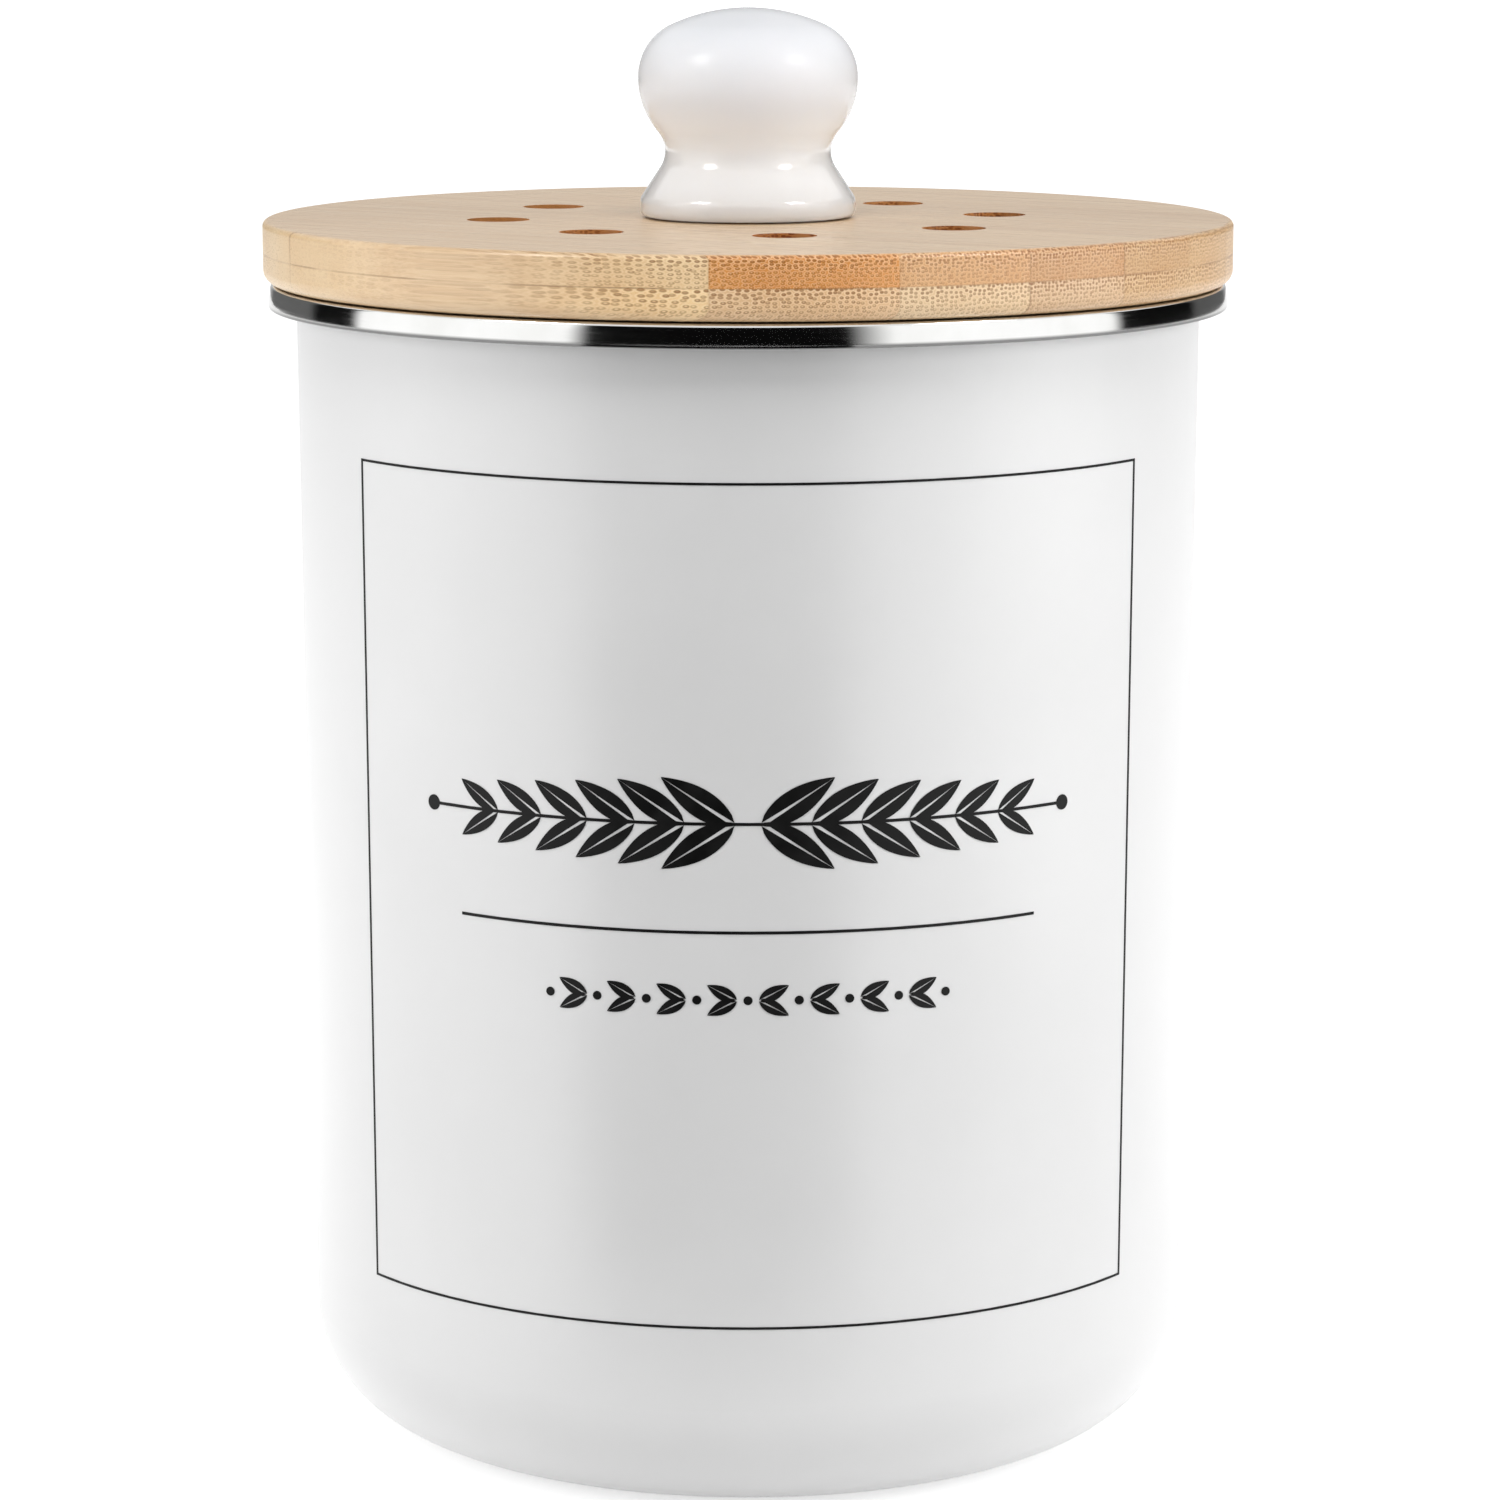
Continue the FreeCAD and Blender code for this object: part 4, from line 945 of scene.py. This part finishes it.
# Turn in degrees, and grey, of the bands that the rim mirrors
MIRROR_BANDS = (
    (-168.0, MIRROR_BACK), (-158.0, 92), (-127.0, 92), (-122.0, 12), (-106.0, 12), (-102.0, 250),
    (-42.0, 250), (-37.0, 8), (23.0, 8), (34.0, 250), (94.0, 250), (98.0, 10), (128.0, 12), (133.0, 80),
    (158.0, 86), (168.0, MIRROR_BACK),
)
MIRROR_GLOW = 1.3
GLINT_GLOW = 15.0
GLINT_REACH = 1.0
GLINT_HEIGHT = 0.94
GLINT_SIZE = 0.34
FRONT_CARD = (-38.0, 24.0)
FRONT_CARD_START = 0.22
CARD_LIFT = 0.5 * MM
PAIL_MIDDLE = Vector((0.0, 0.0, 0.13))
KNOB_MIDDLE = Vector((0.0, 0.0, 0.24))
KNOB_AIM = Vector((0.0, 0.0, 0.254))
# Each lamp's place as turn, distance and height, its width and height, its power and where it aims
SOFT_BOXES = {
    "soft_box_left": ((-78.0, 1.3, 0.40), (1.2, 0.70), 7.0, PAIL_MIDDLE),
    "soft_box_right": ((77.0, 1.3, 0.40), (1.0, 0.70), 9.7, PAIL_MIDDLE),
    "low_box_left": ((-90.0, 0.42, 0.16), (0.70, 0.26), 0.32, PAIL_MIDDLE),
    "low_box_right": ((90.0, 0.42, 0.16), (0.70, 0.26), 0.12, PAIL_MIDDLE),
    "soft_box_above": ((0.0, 0.60, 1.25), (0.9, 0.6), 7.6, PAIL_MIDDLE),
    "knob_box": ((0.0, 0.8, 0.25), (0.05, 0.05), 0.0024, KNOB_AIM),
}
# The knob's lamp is narrowed, in degrees, so that it lights nothing else
KNOB_SPREAD = 5.0


def light_path(tree):
    """1 for the rays that show the background, directly or in a reflection."""
    path = add_node(tree, "ShaderNodeLightPath").outputs
    seen = calc(tree, "MAXIMUM", path["Is Camera Ray"], path["Is Glossy Ray"])
    return calc(tree, "MAXIMUM", seen, path["Is Transmission Ray"])


def make_world():
    world = bpy.data.worlds.new("studio")
    scene.world = world
    world.use_nodes = True
    tree = world.node_tree
    tree.nodes.clear()
    fill = add_node(tree, "ShaderNodeBackground", {"Color": WHITE, "Strength": WORLD_FILL})
    white = add_node(tree, "ShaderNodeBackground", {"Color": WHITE, "Strength": 1.0})
    feeds = {0: light_path(tree), 1: fill.outputs[0], 2: white.outputs[0]}
    mixed = add_node(tree, "ShaderNodeMixShader", feeds)
    sink = add_node(tree, "ShaderNodeOutputWorld")
    tree.links.new(mixed.outputs[0], sink.inputs["Surface"])


def stage_sheet(name, corners, material, faces=((0, 1, 2, 3),)):
    """Sheet of the studio, which isn't part of the caddy."""
    mesh = bpy.data.meshes.new(name)
    mesh.from_pydata(corners, [], faces)
    mesh.materials.append(material)
    sheet = bpy.data.objects.new(name, mesh)
    scene.collection.objects.link(sheet)
    return sheet


def make_floor():
    """White floor that keeps the caddy's shadow, lifted to the white of the background where it is seen."""
    material, tree, place = new_finish("floor_white")
    away = vector_calc(tree, "LENGTH", place)
    seen = ramp(tree, away, *FLOOR_LIFT_RANGE, FLOOR_LIFT_NEAR, FLOOR_LIFT_FAR)
    mirrored = ramp(tree, away, *FLOOR_MIRROR_RANGE, FLOOR_MIRROR_NEAR, FLOOR_MIRROR_FAR)
    glossy = add_node(tree, "ShaderNodeLightPath").outputs["Is Glossy Ray"]
    lift = calc(tree, "MULTIPLY_ADD", calc(tree, "SUBTRACT", mirrored, seen), glossy, seen)
    diffuse = add_node(tree, "ShaderNodeBsdfDiffuse", {"Color": FLOOR_TONE})
    glow = add_node(tree, "ShaderNodeEmission", {"Color": WHITE})
    tree.links.new(calc(tree, "MULTIPLY", light_path(tree), lift), glow.inputs["Strength"])
    both = add_node(tree, "ShaderNodeAddShader", {0: diffuse.outputs[0], 1: glow.outputs[0]})
    sink = add_node(tree, "ShaderNodeOutputMaterial")
    tree.links.new(both.outputs[0], sink.inputs["Surface"])
    reach = FLOOR_REACH
    corners = [(-reach, -reach, 0.0), (reach, -reach, 0.0), (reach, reach, 0.0), (-reach, reach, 0.0)]
    stage_sheet("floor", corners, material)


def at_turn(turn, distance, height):
    """A point round the caddy: turn 0 is towards the camera, and grows to the right."""
    angle = math.radians(turn)
    return Vector((distance * math.sin(angle), -distance * math.cos(angle), height))


def only_mirrored(sheet):
    """Leave a sheet to be seen in reflections alone."""
    for ray in ("camera", "diffuse", "shadow", "transmission", "volume_scatter"):
        setattr(sheet, f"visible_{ray}", False)


def end_in_glow(tree, colour, strength):
    """End a material in plain light."""
    glow = add_node(tree, "ShaderNodeEmission", {"Color": colour, "Strength": strength})
    sink = add_node(tree, "ShaderNodeOutputMaterial")
    tree.links.new(glow.outputs[0], sink.inputs["Surface"])


def make_mirror_ring():
    """Far wall and floor card, seen in reflections alone, that give the rim its dark and light bands."""
    material, tree, place = new_finish("mirror_bands")
    x, y, _ = split(tree, place)
    turn = calc(tree, "ARCTAN2", x, calc(tree, "MULTIPLY", y, -1.0))
    share = calc(tree, "MULTIPLY_ADD", turn, 0.5 / math.pi, 0.5)
    bands = add_node(tree, "ShaderNodeValToRGB", {"Fac": share})
    # The ramp starts with its two end stops, and both are at the back of the ring
    stops = bands.color_ramp.elements
    for degrees, grey in MIRROR_BANDS:
        stops.new((degrees + 180.0) / 360.0).color = tone(grey, grey, grey)
    for end in (stops[0], stops[-1]):
        end.color = tone(MIRROR_BACK, MIRROR_BACK, MIRROR_BACK)
    end_in_glow(tree, bands.outputs["Color"], MIRROR_GLOW)
    corners, faces = [], []
    for panel in range(MIRROR_PANELS):
        turn = 360.0 * panel / MIRROR_PANELS
        corners += [at_turn(turn, MIRROR_REACH, 0.0), at_turn(turn, MIRROR_REACH, MIRROR_HEIGHT)]
        after = (panel + 1) % MIRROR_PANELS
        faces.append((2 * panel, 2 * after, 2 * after + 1, 2 * panel + 1))
    ring = stage_sheet("mirror_ring", corners, material, faces)
    first, last = FRONT_CARD
    card = stage_sheet("front_card", [
        at_turn(first, FRONT_CARD_START, CARD_LIFT), at_turn(last, FRONT_CARD_START, CARD_LIFT),
        at_turn(last, MIRROR_REACH, CARD_LIFT), at_turn(first, MIRROR_REACH, CARD_LIFT),
    ], material)
    only_mirrored(ring)
    only_mirrored(card)


def make_glint_card(name, turn):
    """Small bright card, high to one side, that puts a glint on the knob's foot and waist."""
    material, tree, _ = new_finish(name)
    end_in_glow(tree, WHITE, GLINT_GLOW)
    middle = at_turn(turn, GLINT_REACH, GLINT_HEIGHT)
    facing = (KNOB_MIDDLE - middle).normalized()
    aside = facing.cross(Vector((0.0, 0.0, 1.0))).normalized() * GLINT_SIZE / 2
    up = aside.cross(facing).normalized() * GLINT_SIZE / 2
    corners = [middle - aside - up, middle + aside - up, middle + aside + up, middle - aside + up]
    only_mirrored(stage_sheet(name, corners, material))


def soft_box(name, place, size, power, aim):
    """Rectangular lamp that faces a point. Polished surfaces mirror the cards and the ring in its place."""
    lamp = bpy.data.lights.new(name, "AREA")
    lamp.shape = "RECTANGLE"
    lamp.size, lamp.size_y = size
    lamp.energy = power
    box = bpy.data.objects.new(name, lamp)
    box.location = at_turn(*place)
    box.rotation_euler = (aim - box.location).to_track_quat("-Z", "Y").to_euler()
    box.visible_glossy = False
    scene.collection.objects.link(box)
    return lamp


make_world()
make_floor()
lamps = {name: soft_box(name, *settings) for name, settings in SOFT_BOXES.items()}
lamps["knob_box"].spread = math.radians(KNOB_SPREAD)
make_glint_card("glint_card_left", -58.0)
make_glint_card("glint_card_right", 58.0)
make_mirror_ring()


# Camera at the photograph's viewing angle

SENSOR_WIDTH = 36.0
LENS = 123.16
SIDE_SHIFT = 0.00133
CAMERA_PLACE = (0.0, -0.90424, 0.27885)
CAMERA_TILT = 80.0

camera_data = bpy.data.cameras.new("camera")
camera_data.sensor_width = SENSOR_WIDTH
camera_data.lens = LENS
camera_data.shift_x = SIDE_SHIFT
camera = bpy.data.objects.new("camera", camera_data)
camera.location = CAMERA_PLACE
camera.rotation_euler = (math.radians(CAMERA_TILT), 0.0, 0.0)
scene.collection.objects.link(camera)
scene.camera = camera

scene.view_settings.view_transform = "Standard"
